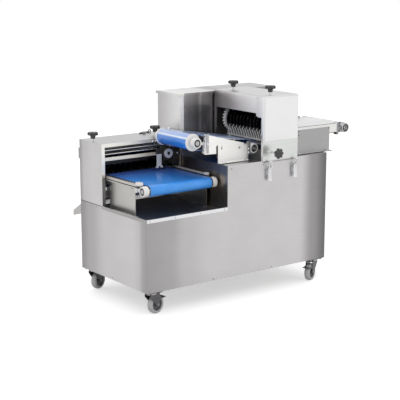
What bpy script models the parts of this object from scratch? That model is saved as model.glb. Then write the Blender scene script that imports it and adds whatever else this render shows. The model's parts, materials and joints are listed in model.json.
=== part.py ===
"""Meat dicing machine: a stepped sheet-steel cabinet on castors, with three belt conveyors.

Meat rides the infeed belt through a head of round knives, which cuts it into strips.
The strips ride a sloping belt, drop on a lower belt and pass a second set of knives,
which cuts them into cubes that leave by the chute at the back.

Sizes are metres. Machine coordinates: X from the cabinet's left face, Y from its front
face towards the back, Z from its underside. The model is moved so that its origin is
the middle of its footprint, on the floor.
"""
import math

import bpy
import bmesh
from mathutils import Matrix, Vector

for leftover in list(bpy.data.objects):
    bpy.data.objects.remove(leftover, do_unlink=True)

# General
GAP = 0.0003            # free space between pieces that touch
SHEET = 0.0025          # sheet steel of housings
OVERRUN = 0.010         # how far a cutter passes the face it cuts
SINK = 0.001            # how far a welded piece reaches into the one that carries it

# Cabinet
CABINET_LENGTH = 1.250
CABINET_DEPTH = 0.660
CABINET_WALL = 0.003
LOW_HEIGHT = 0.394
HIGH_HEIGHT = 0.623
STEP_X = 0.528
TRAY_DEPTH = 0.018
RIM_HEIGHT = 0.0165
RIM_THICKNESS = 0.002
RAIL_BAR = 0.040        # square bars under the cabinet floor
RAIL_INSET = 0.150
PANEL_MARGIN = 0.006
VENT_COUNT = 4
VENT_WIDTH = 0.160
VENT_HEIGHT = 0.008
VENT_PITCH = 0.040

# Castors
FLOOR_CLEARANCE = 0.130
CASTOR_INSET = (0.055, 0.045)
WHEEL_RADIUS = 0.050
WHEEL_WIDTH = 0.032
CASTOR_TRAIL = 0.030
CASTOR_PLATE = (0.090, 0.080, 0.005)
RACE_RADIUS = 0.029
RACE_HEIGHT = 0.011
CHEEK = 0.003
AXLE_RADIUS = 0.005
CASTOR_TURNS = {"front_left": 12.0, "front_right": -155.0,
                "rear_left": 22.0, "rear_right": 170.0}
PEDAL_REACH = 0.056     # from the axle to the brake pedal's edge
PEDAL_DEPTH = 0.0162
PEDAL_RISE = 0.034      # above the axle

# Lower housing, with the cross-cutting knives
HOUSING_LENGTH = 0.524
HOUSING_DEPTH = 0.232
HOUSING_FRONT = CABINET_DEPTH - HOUSING_DEPTH
HOUSING_TOP = 0.735
HOUSING_FLANGE = 0.020
HOUSING_RIGHT_FLANGE = 0.008
CROSSBAR_Z = 0.640
CROSSBAR_HEIGHT = 0.019
CROSSBAR_THICKNESS = 0.004
GUARD_ROD_RADIUS = 0.003
GUARD_ROD_Z = (0.676, 0.697)
COVER_DEPTH = 0.017     # chain cover on the back wall
COVER_WIDTH = 0.120
COVER_Z = (0.626, 0.686)
DICE_Y = HOUSING_FRONT + 0.147
DICE_Z = 0.600
DICE_RADIUS = 0.058
DICE_COUNT = 10
DICE_PITCH = 0.036
DICE_HUB = 0.020
DICE_BED_RADIUS = 0.038
DICE_FIRST_X = 0.100

# Chute
CHUTE_LEFT = 0.010
CHUTE_RIGHT = 0.500
CHUTE_MOUTH_FRONT = HOUSING_FRONT + 0.117
CHUTE_REACH = 0.102     # how far the lip stands out of the back
CHUTE_LIP_Y = CABINET_DEPTH + CHUTE_REACH
CHUTE_LIP_Z = 0.284
CHUTE_LIP_HEIGHT = 0.030
CHUTE_HOOD_Y = CABINET_DEPTH + 0.004
CHUTE_SHEET = 0.002

# Drive box
DRIVE_RIGHT = 1.205
DRIVE_DEPTH = 0.218
DRIVE_FRONT = CABINET_DEPTH - DRIVE_DEPTH
DRIVE_TOP = 0.970
ROOF_LIP = 0.015
ROOF_OVERHANG = 0.012
DRIVE_FLANGE = 0.017
DRIVE_RECESS = 0.004

# Knife head
HEAD_LEFT = 0.770
HEAD_RIGHT = 1.023
HEAD_FRONT = -0.003
HEAD_BACK = DRIVE_FRONT - 0.006
HEAD_TOP = 0.980
HEAD_BEND = 0.012       # radius of the folded top edges
BEND_STEPS = 3
MOUTH_FRONT = 0.013
MOUTH_BACK = HEAD_BACK - 0.021
MOUTH_TOP = 0.882
MOUTH_NOTCH = (0.034, 0.021)
FEED_MOUTH_FRONT = 0.043
FEED_MOUTH_TOP = 0.850
KNIFE_X = 0.865
KNIFE_Z = 0.815
KNIFE_RADIUS = 0.075
KNIFE_PITCH = 0.030
KNIFE_FIRST_Y = 0.045
KNIFE_HUB = 0.022
BLADE = 0.003
BED_ROLLER_X = 0.878
BED_ROLLER_Z = 0.698
BED_ROLLER_RADIUS = 0.0405
GEAR_TEETH = (25, 17)
GEAR_WIDTH = 0.016
GEAR_Y = HEAD_BACK - 0.064
KNIFE_COUNT = int((GEAR_Y - KNIFE_FIRST_Y - 0.022) / KNIFE_PITCH) + 1
GEAR_ADDENDUM = 0.8     # in modules
GEAR_DEDENDUM = 1.15
GEAR_THICKNESS = 0.42   # tooth width at the pitch circle, as a share of the pitch

# Shafts and bearings
SHAFT_RADIUS = 0.010
BOSS_RADIUS = 0.020
BOSS_LENGTH = 0.012
SHAFT_END_GAP = 0.001
SPROCKET_RADIUS = 0.042
SPROCKET_TEETH = 11
SPROCKET_WIDTH = 0.008
SPROCKET_Y = CABINET_DEPTH - 0.100
COUNTERSHAFT_X = 0.640
COUNTERSHAFT_Z = 0.800

# Conveyors
BELT = 0.002
BELT_STEPS = 10         # flats in half a turn round a roller
BELT_PLAY = 0.0001      # free space for a roller's corners inside its belt
BEARING_RADIUS = 0.028
BEARING_LENGTH = 0.028
PLATE_START = 0.068     # from a roller's axis to the side plate's end
TAB_THICKNESS = 0.015
BED_SHEET = 0.003
CROSS_TUBE = 0.007
TUBE_DROP = 0.018       # from the bed's underside to a tube's axis
LOWER_BELT_X = 0.277
LOWER_BELT_Z = 0.523
LOWER_BELT_LENGTH = 0.400
LOWER_BELT_Y = HOUSING_FRONT + 0.072 - LOWER_BELT_LENGTH
LOWER_BELT_WIDTH = 0.400
LOWER_ROLLER = 0.030
LOWER_PLATE_OUT = LOWER_BELT_WIDTH / 2 + 0.036
JAMB_NOTCH = 0.015      # the plates stop short of the housing's mouth below their bearings
UPPER_BELT_LENGTH = 0.4075
UPPER_BELT_FALL = 9.46  # degrees, from the drop end down to the knives
UPPER_DRIVE_X = BED_ROLLER_X - 0.103
UPPER_DRIVE_Z = BED_ROLLER_Z - 0.014
UPPER_BELT_X = UPPER_DRIVE_X - UPPER_BELT_LENGTH * math.cos(math.radians(UPPER_BELT_FALL))
UPPER_BELT_Z = UPPER_DRIVE_Z + UPPER_BELT_LENGTH * math.sin(math.radians(UPPER_BELT_FALL))
UPPER_BELT_WIDTH = HEAD_BACK - 0.167
UPPER_BELT_Y = 0.112 + UPPER_BELT_WIDTH / 2
UPPER_ROLLER = 0.043
UPPER_PLATE_OUT = UPPER_BELT_WIDTH / 2 + 0.032
INFEED_X = 1.440
INFEED_Z = 0.744
INFEED_LENGTH = 0.455
INFEED_WIDTH = HEAD_BACK - 0.146
INFEED_Y = 0.087 + INFEED_WIDTH / 2
INFEED_ROLLER = 0.030
INFEED_PLATE_OUT = INFEED_WIDTH / 2 + 0.0367
SUPPORT_SHEET = 0.003
UPPER_SUPPORT_LEFT = 0.520
UPPER_SUPPORT_RIGHT = 0.731
UPPER_SUPPORT_TOP = (0.729, 0.702)
INFEED_SUPPORT_RIGHT = 1.312
INFEED_SUPPORT_TOP = 0.762
FOOT_WIDTH = 0.022

# Star knobs and latches
KNOB_RADIUS = 0.028
KNOB_HEAD = 0.018
KNOB_SKIRT = 0.015
KNOB_HEIGHT = 0.038
KNOB_LOBES = 7
KNOB_WAVE = 0.11
SPINDLE_RADIUS = 0.006
LOW_KNOBS = (("feed_knob_left", 0.017, HOUSING_FRONT + 0.115),
             ("feed_knob_right", 0.428, HOUSING_FRONT + 0.115))
HEAD_KNOBS = (("knife_knob_rear", 0.845, HEAD_BACK - 0.079), ("knife_knob_front", 0.845, 0.030))
KNOB_STAND = 0.016      # free spindle under a knob's skirt
LOCK_KNOB = (0.833, 0.668)
LOCK_STAND = 0.034
LATCH_X = (("left", 0.811), ("right", 0.996))
LATCH_PIVOT_Z = 0.586
LATCH_PIVOT_OUT = 0.010
BAIL_ARM = 0.012
LEVER_LENGTH = 0.074
LEVER_WIDTH = 0.024
STRIKE_Z = 0.620
STRIKE_HALF = 0.008
STRIKE_TOP = 0.644

# Gearmotor inside the cabinet
MOTOR_X = 0.640
MOTOR_Y = CABINET_DEPTH / 2
MOTOR_RADIUS = 0.075
MOTOR_LENGTH = 0.240
GEARBOX = (0.150, 0.140, 0.190)

# The model's origin: middle of the footprint, on the floor
FRONT_REACH = -HEAD_FRONT + LOCK_STAND + KNOB_HEIGHT
LEFT_REACH = KNOB_RADIUS - LOW_KNOBS[0][1]
RIGHT_REACH = INFEED_X + INFEED_ROLLER
MACHINE_ORIGIN = Vector((-(RIGHT_REACH - LEFT_REACH) / 2, -(CHUTE_LIP_Y - FRONT_REACH) / 2,
                         FLOOR_CLEARANCE))


def finish(name, colour, metallic, roughness):
    """A plain Principled material."""
    made = bpy.data.materials.new(name)
    made.use_nodes = True
    shader = made.node_tree.nodes["Principled BSDF"]
    shader.inputs["Base Color"].default_value = (*colour, 1.0)
    shader.inputs["Metallic"].default_value = metallic
    shader.inputs["Roughness"].default_value = roughness
    made.diffuse_color = (*colour, 1.0)
    return made


STEEL = finish("brushed_stainless", (0.60, 0.59, 0.59), 1.0, 0.38)
KNIFE_STEEL = finish("ground_knife_steel", (0.45, 0.45, 0.46), 1.0, 0.25)
BELT_BLUE = finish("blue_belt", (0.03, 0.16, 0.55), 0.0, 0.35)
BELT_WHITE = finish("white_belt", (0.80, 0.80, 0.80), 0.0, 0.45)
KNOB_BLACK = finish("black_knob_plastic", (0.02, 0.02, 0.02), 0.0, 0.45)
TYRE_GREY = finish("grey_wheel_rubber", (0.45, 0.45, 0.46), 0.0, 0.60)
CAST_IRON = finish("painted_casting", (0.12, 0.16, 0.20), 0.3, 0.50)


def solid(name, points, faces, material, origin, parent=None):
    """One closed mesh, its points given in the parent's or the machine's coordinates."""
    mesh = bpy.data.meshes.new(name)
    start = Vector(origin)
    mesh.from_pydata([Vector(p) - start for p in points], [], faces)
    shape = bmesh.new()
    shape.from_mesh(mesh)
    bmesh.ops.recalc_face_normals(shape, faces=shape.faces)
    shape.to_mesh(mesh)
    shape.free()
    mesh.materials.append(material)
    made = bpy.data.objects.new(name, mesh)
    bpy.context.scene.collection.objects.link(made)
    made.parent = parent
    made.location = start if parent else start + MACHINE_ORIGIN
    return made


def empty(name, origin, turn=None, parent=None):
    """A frame to build a group of pieces in."""
    made = bpy.data.objects.new(name, None)
    bpy.context.scene.collection.objects.link(made)
    made.parent = parent
    made.location = Vector(origin) if parent else Vector(origin) + MACHINE_ORIGIN
    if turn:
        made.rotation_euler = turn.to_euler()
    return made


def along(axis, a, b, c):
    """Point with c along the axis and a, b in the other two directions, in X, Y, Z order."""
    return {"X": (c, a, b), "Y": (a, c, b), "Z": (a, b, c)}[axis]


def prism(name, outline, axis, start, end, material, origin=(0, 0, 0), parent=None):
    """A flat outline carried straight along an axis."""
    count = len(outline)
    points = [along(axis, a, b, c) for c in (start, end) for a, b in outline]
    faces = [tuple(range(count)), tuple(range(count, 2 * count))]
    faces += [(i, (i + 1) % count, count + (i + 1) % count, count + i) for i in range(count)]
    return solid(name, points, faces, material, origin, parent)


def ring_prism(name, outer, inner, axis, start, end, material, origin=(0, 0, 0), parent=None):
    """A closed band between two outlines of equal count, carried along an axis."""
    n = len(outer)
    loops = [(outer, start), (outer, end), (inner, end), (inner, start)]
    points = [along(axis, a, b, c) for loop, c in loops for a, b in loop]
    faces = []
    for k in range(4):
        low, high = k * n, (k + 1) % 4 * n
        faces += [(low + i, low + (i + 1) % n, high + (i + 1) % n, high + i) for i in range(n)]
    return solid(name, points, faces, material, origin, parent)


def rectangle(a0, a1, b0, b1):
    return [(a0, b0), (a1, b0), (a1, b1), (a0, b1)]


def block(name, low, high, material, origin=(0, 0, 0), parent=None):
    return prism(name, rectangle(low[0], high[0], low[1], high[1]), "Z", low[2], high[2],
                 material, origin, parent)


def turned(name, profile, axis, centre, material, steps=24, parent=None, waves=None):
    """A turned solid: (radius, position) pairs; radius 0 at both ends closes it, otherwise the
    profile closes on itself as a ring. waves(angle, index) scales a ring's radius."""
    closed = profile[0][0] > 0
    points, rings = [], []
    for index, (radius, position) in enumerate(profile):
        count = steps if radius > 0 else 1
        rings.append(list(range(len(points), len(points) + count)))
        for i in range(count):
            angle = 2 * math.pi * i / steps
            reach = radius * (waves(angle, index) if waves else 1.0)
            points.append(along(axis, centre[0] + reach * math.cos(angle),
                                centre[1] + reach * math.sin(angle), position))
    faces = []
    pairs = list(zip(rings, rings[1:])) + ([(rings[-1], rings[0])] if closed else [])
    for near, far in pairs:
        for i in range(steps):
            j = (i + 1) % steps
            quad = [near[i % len(near)], near[j % len(near)], far[j % len(far)], far[i % len(far)]]
            faces.append(tuple(dict.fromkeys(quad)))
    origin = along(axis, centre[0], centre[1], profile[0][1])
    made = solid(name, points, faces, material, origin, parent)
    made.data.shade_smooth()
    made.data.set_sharp_from_angle(angle=math.radians(35))
    return made


def shaft(name, radius, axis, centre, start, end, material, steps=16, parent=None):
    return turned(name, [(0, start), (radius, start), (radius, end), (0, end)], axis, centre,
                  material, steps, parent)


def boolean(target, tool, operation):
    """Cuts or welds the tool into the target, and puts the tool out of sight."""
    step = target.modifiers.new(tool.name, "BOOLEAN")
    step.operation = operation
    step.object = tool
    tool.hide_render = True
    tool.display_type = "WIRE"


def carve(target, *tools):
    for tool in tools:
        boolean(target, tool, "DIFFERENCE")


def weld(target, *tools):
    for tool in tools:
        boolean(target, tool, "UNION")


def circumscribed(radius, steps):
    """Radius of a polygon that leaves a round shaft of this radius free."""
    return radius / math.cos(math.pi / steps) + GAP


def cabinet():
    """Stepped shell with a sunk tray in its low part, open at the back and underneath."""
    wall = CABINET_WALL
    outline = [(0, 0), (CABINET_LENGTH, 0), (CABINET_LENGTH, HIGH_HEIGHT), (STEP_X, HIGH_HEIGHT),
               (STEP_X, LOW_HEIGHT), (0, LOW_HEIGHT)]
    shell = prism("cabinet_shell", outline, "Y", 0, CABINET_DEPTH, STEEL)
    deck = LOW_HEIGHT - TRAY_DEPTH
    inside = [(wall, -OVERRUN), (CABINET_LENGTH - wall, -OVERRUN),
              (CABINET_LENGTH - wall, HIGH_HEIGHT - wall), (STEP_X + wall, HIGH_HEIGHT - wall),
              (STEP_X + wall, deck - wall), (wall, deck - wall)]
    carve(shell,
          prism("cabinet_inside", inside, "Y", wall, CABINET_DEPTH + OVERRUN, STEEL),
          block("tray_cut", (wall, wall, deck), (STEP_X, CABINET_DEPTH - wall, HIGH_HEIGHT),
                STEEL),
          block("drop_cut", (CHUTE_LEFT + CHUTE_SHEET, CHUTE_MOUTH_FRONT, deck - 2 * wall),
                (CHUTE_RIGHT - CHUTE_SHEET, CABINET_DEPTH - 2 * wall, deck + wall), STEEL))


def cabinet_floor():
    """Bottom plate on two square bars, with the castors' mounting plates under it."""
    edge = CABINET_WALL + GAP
    floor = block("cabinet_floor", (edge, edge, 0),
                  (CABINET_LENGTH - edge, CABINET_DEPTH - GAP, CABINET_WALL), STEEL)
    for name, y in (("front", RAIL_INSET), ("rear", CABINET_DEPTH - RAIL_INSET)):
        weld(floor, block(f"floor_bar_{name}", (2 * edge, y - RAIL_BAR / 2, CABINET_WALL - SINK),
                          (CABINET_LENGTH - 2 * edge, y + RAIL_BAR / 2, RAIL_BAR), STEEL))
    length, width, thick = CASTOR_PLATE
    for name, x, y in castor_places():
        weld(floor, block(f"castor_plate_{name}", (x - length / 2, y - width / 2, -thick),
                          (x + length / 2, y + width / 2, SINK), STEEL))


def rear_panel():
    """Screwed back panel with rows of vents, cut low on the left for the chute."""
    low_top = CHUTE_LIP_Z - PANEL_MARGIN
    right, top = CABINET_LENGTH - PANEL_MARGIN, HIGH_HEIGHT - PANEL_MARGIN
    outline = [(PANEL_MARGIN, PANEL_MARGIN), (right, PANEL_MARGIN), (right, top),
               (STEP_X, top), (STEP_X, low_top), (PANEL_MARGIN, low_top)]
    start = CABINET_DEPTH + GAP
    panel = prism("rear_panel", outline, "Y", start, start + SHEET, STEEL)
    for column, x in enumerate((STEP_X + 0.160, STEP_X + 0.480)):
        for row in range(VENT_COUNT):
            z = HIGH_HEIGHT / 2 + (row - VENT_COUNT / 2) * VENT_PITCH
            carve(panel, block(f"vent_{column}_{row}", (x, start - OVERRUN, z),
                               (x + VENT_WIDTH, start + OVERRUN, z + VENT_HEIGHT), STEEL))


def rim_strip():
    """Bright angle strip over the front edge of the low part."""
    out, height = RIM_THICKNESS + GAP, LOW_HEIGHT - RIM_HEIGHT
    top = LOW_HEIGHT + GAP + RIM_THICKNESS
    outline = [(-out, height), (-GAP, height), (-GAP, LOW_HEIGHT + GAP),
               (CABINET_WALL + RIM_THICKNESS, LOW_HEIGHT + GAP),
               (CABINET_WALL + RIM_THICKNESS, top), (-out, top)]
    prism("rim_strip", outline, "X", 0, STEP_X - GAP, STEEL)


def castor_places():
    left, near = CASTOR_INSET
    right, far = CABINET_LENGTH - left, CABINET_DEPTH - near
    return (("front_left", left, near), ("front_right", right, near),
            ("rear_left", left, far), ("rear_right", right, far))


def castor(name, x, y):
    """Swivelling fork with its axle, and the wheel between its cheeks."""
    top = -CASTOR_PLATE[2] - GAP
    axle = Vector((CASTOR_TRAIL, 0, WHEEL_RADIUS - FLOOR_CLEARANCE))
    turn = Matrix.Rotation(math.radians(CASTOR_TURNS[name]), 4, "Z")
    swivel = empty(f"castor_frame_{name}", (x, y, 0), turn)
    inner = WHEEL_WIDTH / 2 + 0.003
    under = top - RACE_HEIGHT
    fork = turned(f"castor_fork_{name}",
                  [(0, top), (RACE_RADIUS * 0.6, top), (RACE_RADIUS, top - 0.004),
                   (RACE_RADIUS, under), (0, under)], "Z", (0, 0), STEEL, 12, swivel)
    crown_low = under - CHEEK
    weld(fork, block(f"crown_{name}", (-RACE_RADIUS, -inner - CHEEK, crown_low),
                     (axle.x + 0.012, inner + CHEEK, under + SINK), STEEL, parent=swivel))
    cheek = [(-RACE_RADIUS, crown_low + SINK), (-RACE_RADIUS, crown_low - 0.010),
             (axle.x - 0.013, axle.z - 0.002), (axle.x - 0.007, axle.z - 0.011),
             (axle.x + 0.007, axle.z - 0.011), (axle.x + 0.013, axle.z - 0.002),
             (axle.x + 0.012, crown_low + SINK)]
    for side in (-1, 1):
        near, far = sorted((side * inner, side * (inner + CHEEK)))
        weld(fork, prism(f"cheek_{name}_{side}", cheek, "Y", near, far, STEEL, parent=swivel))
        arm = [(axle.x, axle.z + PEDAL_RISE + 0.006), (axle.x, axle.z + PEDAL_RISE - 0.008),
               (axle.x + PEDAL_REACH, axle.z + PEDAL_RISE - CHEEK),
               (axle.x + PEDAL_REACH, axle.z + PEDAL_RISE)]
        near, far = sorted((side * (inner + SINK / 2), side * (inner + CHEEK - SINK / 2)))
        weld(fork, prism(f"pedal_arm_{name}_{side}", arm, "Y", near, far, STEEL,
                         parent=swivel))
    weld(fork, block(f"pedal_{name}", (axle.x + PEDAL_REACH - PEDAL_DEPTH, -inner - CHEEK,
                                       axle.z + PEDAL_RISE - 2 * SINK),
                     (axle.x + PEDAL_REACH + SINK, inner + CHEEK,
                      axle.z + PEDAL_RISE + SINK), STEEL, parent=swivel))
    reach = inner + CHEEK + 0.006
    weld(fork, shaft(f"axle_{name}", AXLE_RADIUS, "Y", (axle.x, axle.z), -reach, reach, STEEL,
                     6, swivel))
    half, bore = WHEEL_WIDTH / 2, circumscribed(AXLE_RADIUS, 20) + GAP / 2
    profile = [(bore, -half - 0.002), (WHEEL_RADIUS - 0.008, -half),
               (WHEEL_RADIUS, -half + 0.008)]
    mirrored = [(radius, -position) for radius, position in reversed(profile)]
    wheel = turned(f"castor_wheel_{name}", profile + mirrored, "Y", (axle.x, axle.z), TYRE_GREY,
                   20, swivel)
    return fork, wheel


def blind_bearing(carrier, name, axis, centre, wall, heading):
    """Boss inside a wall with a bore that stops halfway through the wall's sheet."""
    end = wall + heading * BOSS_LENGTH
    weld(carrier, shaft(f"{name}_boss", BOSS_RADIUS, axis, centre,
                        *sorted((wall - heading * SINK, end)), STEEL, 12))
    carve(carrier, shaft(f"{name}_bore", circumscribed(SHAFT_RADIUS, 12), axis, centre,
                         *sorted((wall - heading * SHEET / 2, end + heading * SINK)), STEEL, 12))


def lower_housing():
    """Hood over the cross-cutting knives, flanged round its mouth at the front."""
    base, back = LOW_HEIGHT + GAP, CABINET_DEPTH
    hood = block("lower_housing", (0, HOUSING_FRONT, base), (HOUSING_LENGTH, back, HOUSING_TOP),
                 STEEL)
    flange = HOUSING_FLANGE
    carve(hood,
          block("housing_inside", (SHEET, HOUSING_FRONT + SHEET, base - OVERRUN),
                (HOUSING_LENGTH - SHEET, back - SHEET, HOUSING_TOP - SHEET), STEEL),
          block("housing_mouth", (flange, HOUSING_FRONT - OVERRUN, base - OVERRUN),
                (HOUSING_LENGTH - HOUSING_RIGHT_FLANGE, HOUSING_FRONT + OVERRUN,
                 HOUSING_TOP - flange), STEEL))
    deck = LOW_HEIGHT - TRAY_DEPTH + GAP
    weld(hood, block("housing_leg", (HOUSING_LENGTH - SHEET, HOUSING_FRONT, deck),
                     (HOUSING_LENGTH, CABINET_DEPTH - CABINET_WALL - GAP, base + SINK), STEEL))
    weld(hood, block("back_cover", (SHEET, back - SHEET / 2, COVER_Z[0]),
                     (SHEET + COVER_WIDTH, back + COVER_DEPTH, COVER_Z[1]), STEEL))
    for name, z in (("dice", DICE_Z), ("bed", dice_bed_z())):
        for side, wall, heading in (("left", SHEET, 1), ("right", HOUSING_LENGTH - SHEET, -1)):
            blind_bearing(hood, f"{name}_{side}", "X", (DICE_Y, z), wall, heading)
    for name, x, y in LOW_KNOBS:
        carve(hood, shaft(f"{name}_hole", circumscribed(SPINDLE_RADIUS, 12), "Z", (x, y),
                          HOUSING_TOP - OVERRUN, HOUSING_TOP + OVERRUN, STEEL, 12))


def guard_bars():
    """Flat crossbar and two thin rods across the mouth, on upright strips."""
    start = HOUSING_FRONT + SHEET + GAP
    end = start + CROSSBAR_THICKNESS
    left, right = SHEET + GAP, HOUSING_LENGTH - SHEET - GAP
    bars = block("guard_bars", (left, start, CROSSBAR_Z),
                 (right, end, CROSSBAR_Z + CROSSBAR_HEIGHT), STEEL)
    top = HOUSING_TOP - SHEET - GAP
    for side, x in (("left", left), ("right", right - HOUSING_FLANGE / 2)):
        weld(bars, block(f"guard_strip_{side}", (x, start, CROSSBAR_Z + SINK),
                         (x + HOUSING_FLANGE / 2, end, top), STEEL))
    for z in GUARD_ROD_Z:
        weld(bars, shaft(f"guard_rod_{z}", GUARD_ROD_RADIUS, "X",
                         (start + GUARD_ROD_RADIUS + GAP, z), left + SINK, right - SINK, STEEL,
                         6))


def dice_bed_z():
    return DICE_Z - DICE_RADIUS - DICE_BED_RADIUS - 0.001


def disc_stack(first, count, pitch, radius, hub):
    """Profile of thin discs on one hub, each ground from both faces to its edge."""
    return [ring for k in range(count)
            for ring in ((hub, first + k * pitch), (radius, first + k * pitch + BLADE / 2),
                         (hub, first + k * pitch + BLADE))]


def cross_knives():
    """Second knife set, which dices the strips, and the bed roller under it."""
    left = SHEET + SHAFT_END_GAP
    right = HOUSING_LENGTH - left
    left_boss = SHEET + BOSS_LENGTH + SHAFT_END_GAP
    right_boss = HOUSING_LENGTH - left_boss
    ends = [(0, left), (SHAFT_RADIUS, left), (SHAFT_RADIUS, left_boss)]
    back = [(SHAFT_RADIUS, right_boss), (SHAFT_RADIUS, right), (0, right)]
    stack = disc_stack(DICE_FIRST_X, DICE_COUNT, DICE_PITCH, DICE_RADIUS, DICE_HUB)
    turned("dice_knife_shaft", ends + [(DICE_HUB, left_boss)] + stack
           + [(DICE_HUB, right_boss)] + back, "X", (DICE_Y, DICE_Z), KNIFE_STEEL, 16)
    turned("dice_bed_roller", ends + [(DICE_BED_RADIUS, left_boss),
                                      (DICE_BED_RADIUS, right_boss)] + back,
           "X", (DICE_Y, dice_bed_z()), STEEL, 16)


def comb(name, bar, fingers, outline, material):
    """A bar with one finger between each pair of blades; low and high corners of the bar."""
    made = block(name, bar[0], bar[1], material)
    for k, (axis, at, width) in enumerate(fingers):
        weld(made, prism(f"{name}_finger_{k}", outline, axis, at, at + width, material))
    return made


def dice_comb():
    """Fingers that strip the meat from the cross-cutting blades, hung from the crossbar side."""
    y0, y1 = HOUSING_FRONT + 0.050, HOUSING_FRONT + 0.056
    reach = DICE_Y - DICE_HUB - 0.006
    low, high = DICE_Z + 0.004, DICE_Z + 0.040
    outline = [(y0 + SINK, high), (y0 + SINK, low + 0.010), (reach - 0.012, low - 0.014),
               (reach, low), (y1, high)]
    gap = (DICE_PITCH - BLADE) / 2
    fingers = [("X", DICE_FIRST_X + BLADE + gap - 0.002 + k * DICE_PITCH, 0.004)
               for k in range(DICE_COUNT - 1)]
    comb("dice_comb", ((SHEET + GAP, y0, low + 0.006),
                       (HOUSING_LENGTH - SHEET - GAP, y1, high + 0.006)), fingers, outline,
         KNIFE_STEEL)


def chute():
    """Sheet duct from the drop under the knives out through the back, hooded outside."""
    top = LOW_HEIGHT - TRAY_DEPTH - CABINET_WALL - GAP
    sheet = CHUTE_SHEET
    front = CHUTE_MOUTH_FRONT - sheet
    lip_top = CHUTE_LIP_Z + CHUTE_LIP_HEIGHT
    hood = CHUTE_HOOD_Y
    outline = [(front, top), (front, top - 0.006), (CHUTE_LIP_Y, CHUTE_LIP_Z),
               (CHUTE_LIP_Y, lip_top), (hood, top)]
    slope = (top - 0.006 - CHUTE_LIP_Z) / (CHUTE_LIP_Y - front)
    fall = (top - lip_top) / (CHUTE_LIP_Y - hood)
    past = CHUTE_LIP_Y + OVERRUN
    inner = [(front + sheet, top + OVERRUN), (front + sheet, top - 0.004 - slope * sheet),
             (past, CHUTE_LIP_Z + sheet - slope * OVERRUN),
             (past, lip_top - sheet - fall * OVERRUN), (hood - sheet, top - sheet),
             (CABINET_DEPTH - 2 * CABINET_WALL, top - sheet),
             (CABINET_DEPTH - 2 * CABINET_WALL, top + OVERRUN)]
    duct = prism("discharge_chute", outline, "X", CHUTE_LEFT, CHUTE_RIGHT, STEEL)
    carve(duct, prism("chute_inside", inner, "X", CHUTE_LEFT + sheet, CHUTE_RIGHT - sheet, STEEL))


def drive_box():
    """Sheet box round the drive, behind the knife head, with a flange up its left corner."""
    base, high = HIGH_HEIGHT + GAP, DRIVE_TOP - SHEET - GAP
    box = block("drive_box", (STEP_X, DRIVE_FRONT, base), (DRIVE_RIGHT, CABINET_DEPTH, high),
                STEEL)
    carve(box,
          block("drive_inside", (STEP_X + SHEET, DRIVE_FRONT + DRIVE_RECESS + SHEET,
                                 base - OVERRUN),
                (DRIVE_RIGHT - SHEET, CABINET_DEPTH - SHEET, high + OVERRUN), STEEL),
          block("drive_recess", (STEP_X + DRIVE_FLANGE, DRIVE_FRONT - OVERRUN,
                                 base - OVERRUN),
                (DRIVE_RIGHT - DRIVE_FLANGE, DRIVE_FRONT + DRIVE_RECESS, high - DRIVE_FLANGE),
                STEEL))
    wall = DRIVE_FRONT + DRIVE_RECESS
    for name, x, z, hub in (("knife", KNIFE_X, KNIFE_Z, KNIFE_HUB),
                            ("roller", BED_ROLLER_X, BED_ROLLER_Z, SHAFT_RADIUS)):
        carve(box, shaft(f"{name}_pass", hub + 0.003, "Y", (x, z), wall - OVERRUN,
                         wall + OVERRUN, STEEL, 12))
    counter = (COUNTERSHAFT_X, COUNTERSHAFT_Z)
    blind_bearing(box, "knife_rear", "Y", (KNIFE_X, KNIFE_Z), CABINET_DEPTH - SHEET, -1)
    blind_bearing(box, "counter_rear", "Y", counter, CABINET_DEPTH - SHEET, -1)
    blind_bearing(box, "counter_front", "Y", counter, wall + SHEET, 1)


def drive_roof():
    """Lid with a turned-down lip all round."""
    over, gap = ROOF_OVERHANG, GAP
    low = (STEP_X - over, DRIVE_FRONT - SHEET - 2 * gap, DRIVE_TOP - ROOF_LIP)
    high = (DRIVE_RIGHT + over, CABINET_DEPTH + SHEET + 2 * gap, DRIVE_TOP)
    lid = block("drive_roof", low, high, STEEL)
    carve(lid, block("roof_inside", (low[0] + SHEET, low[1] + SHEET, low[2] - OVERRUN),
                     (high[0] - SHEET, high[1] - SHEET, DRIVE_TOP - SHEET), STEEL))


def hood_outline(inset, base):
    """Outline of the knife head across the machine, with its top edges folded to a radius."""
    left, right, top = HEAD_LEFT + inset, HEAD_RIGHT - inset, HEAD_TOP - inset
    bend = HEAD_BEND - inset
    arc = [math.pi / 2 * i / BEND_STEPS for i in range(BEND_STEPS + 1)]
    return ([(left, base), (right, base)]
            + [(right - bend + bend * math.cos(t), top - bend + bend * math.sin(t)) for t in arc]
            + [(left + bend - bend * math.sin(t), top - bend + bend * math.cos(t)) for t in arc])


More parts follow.
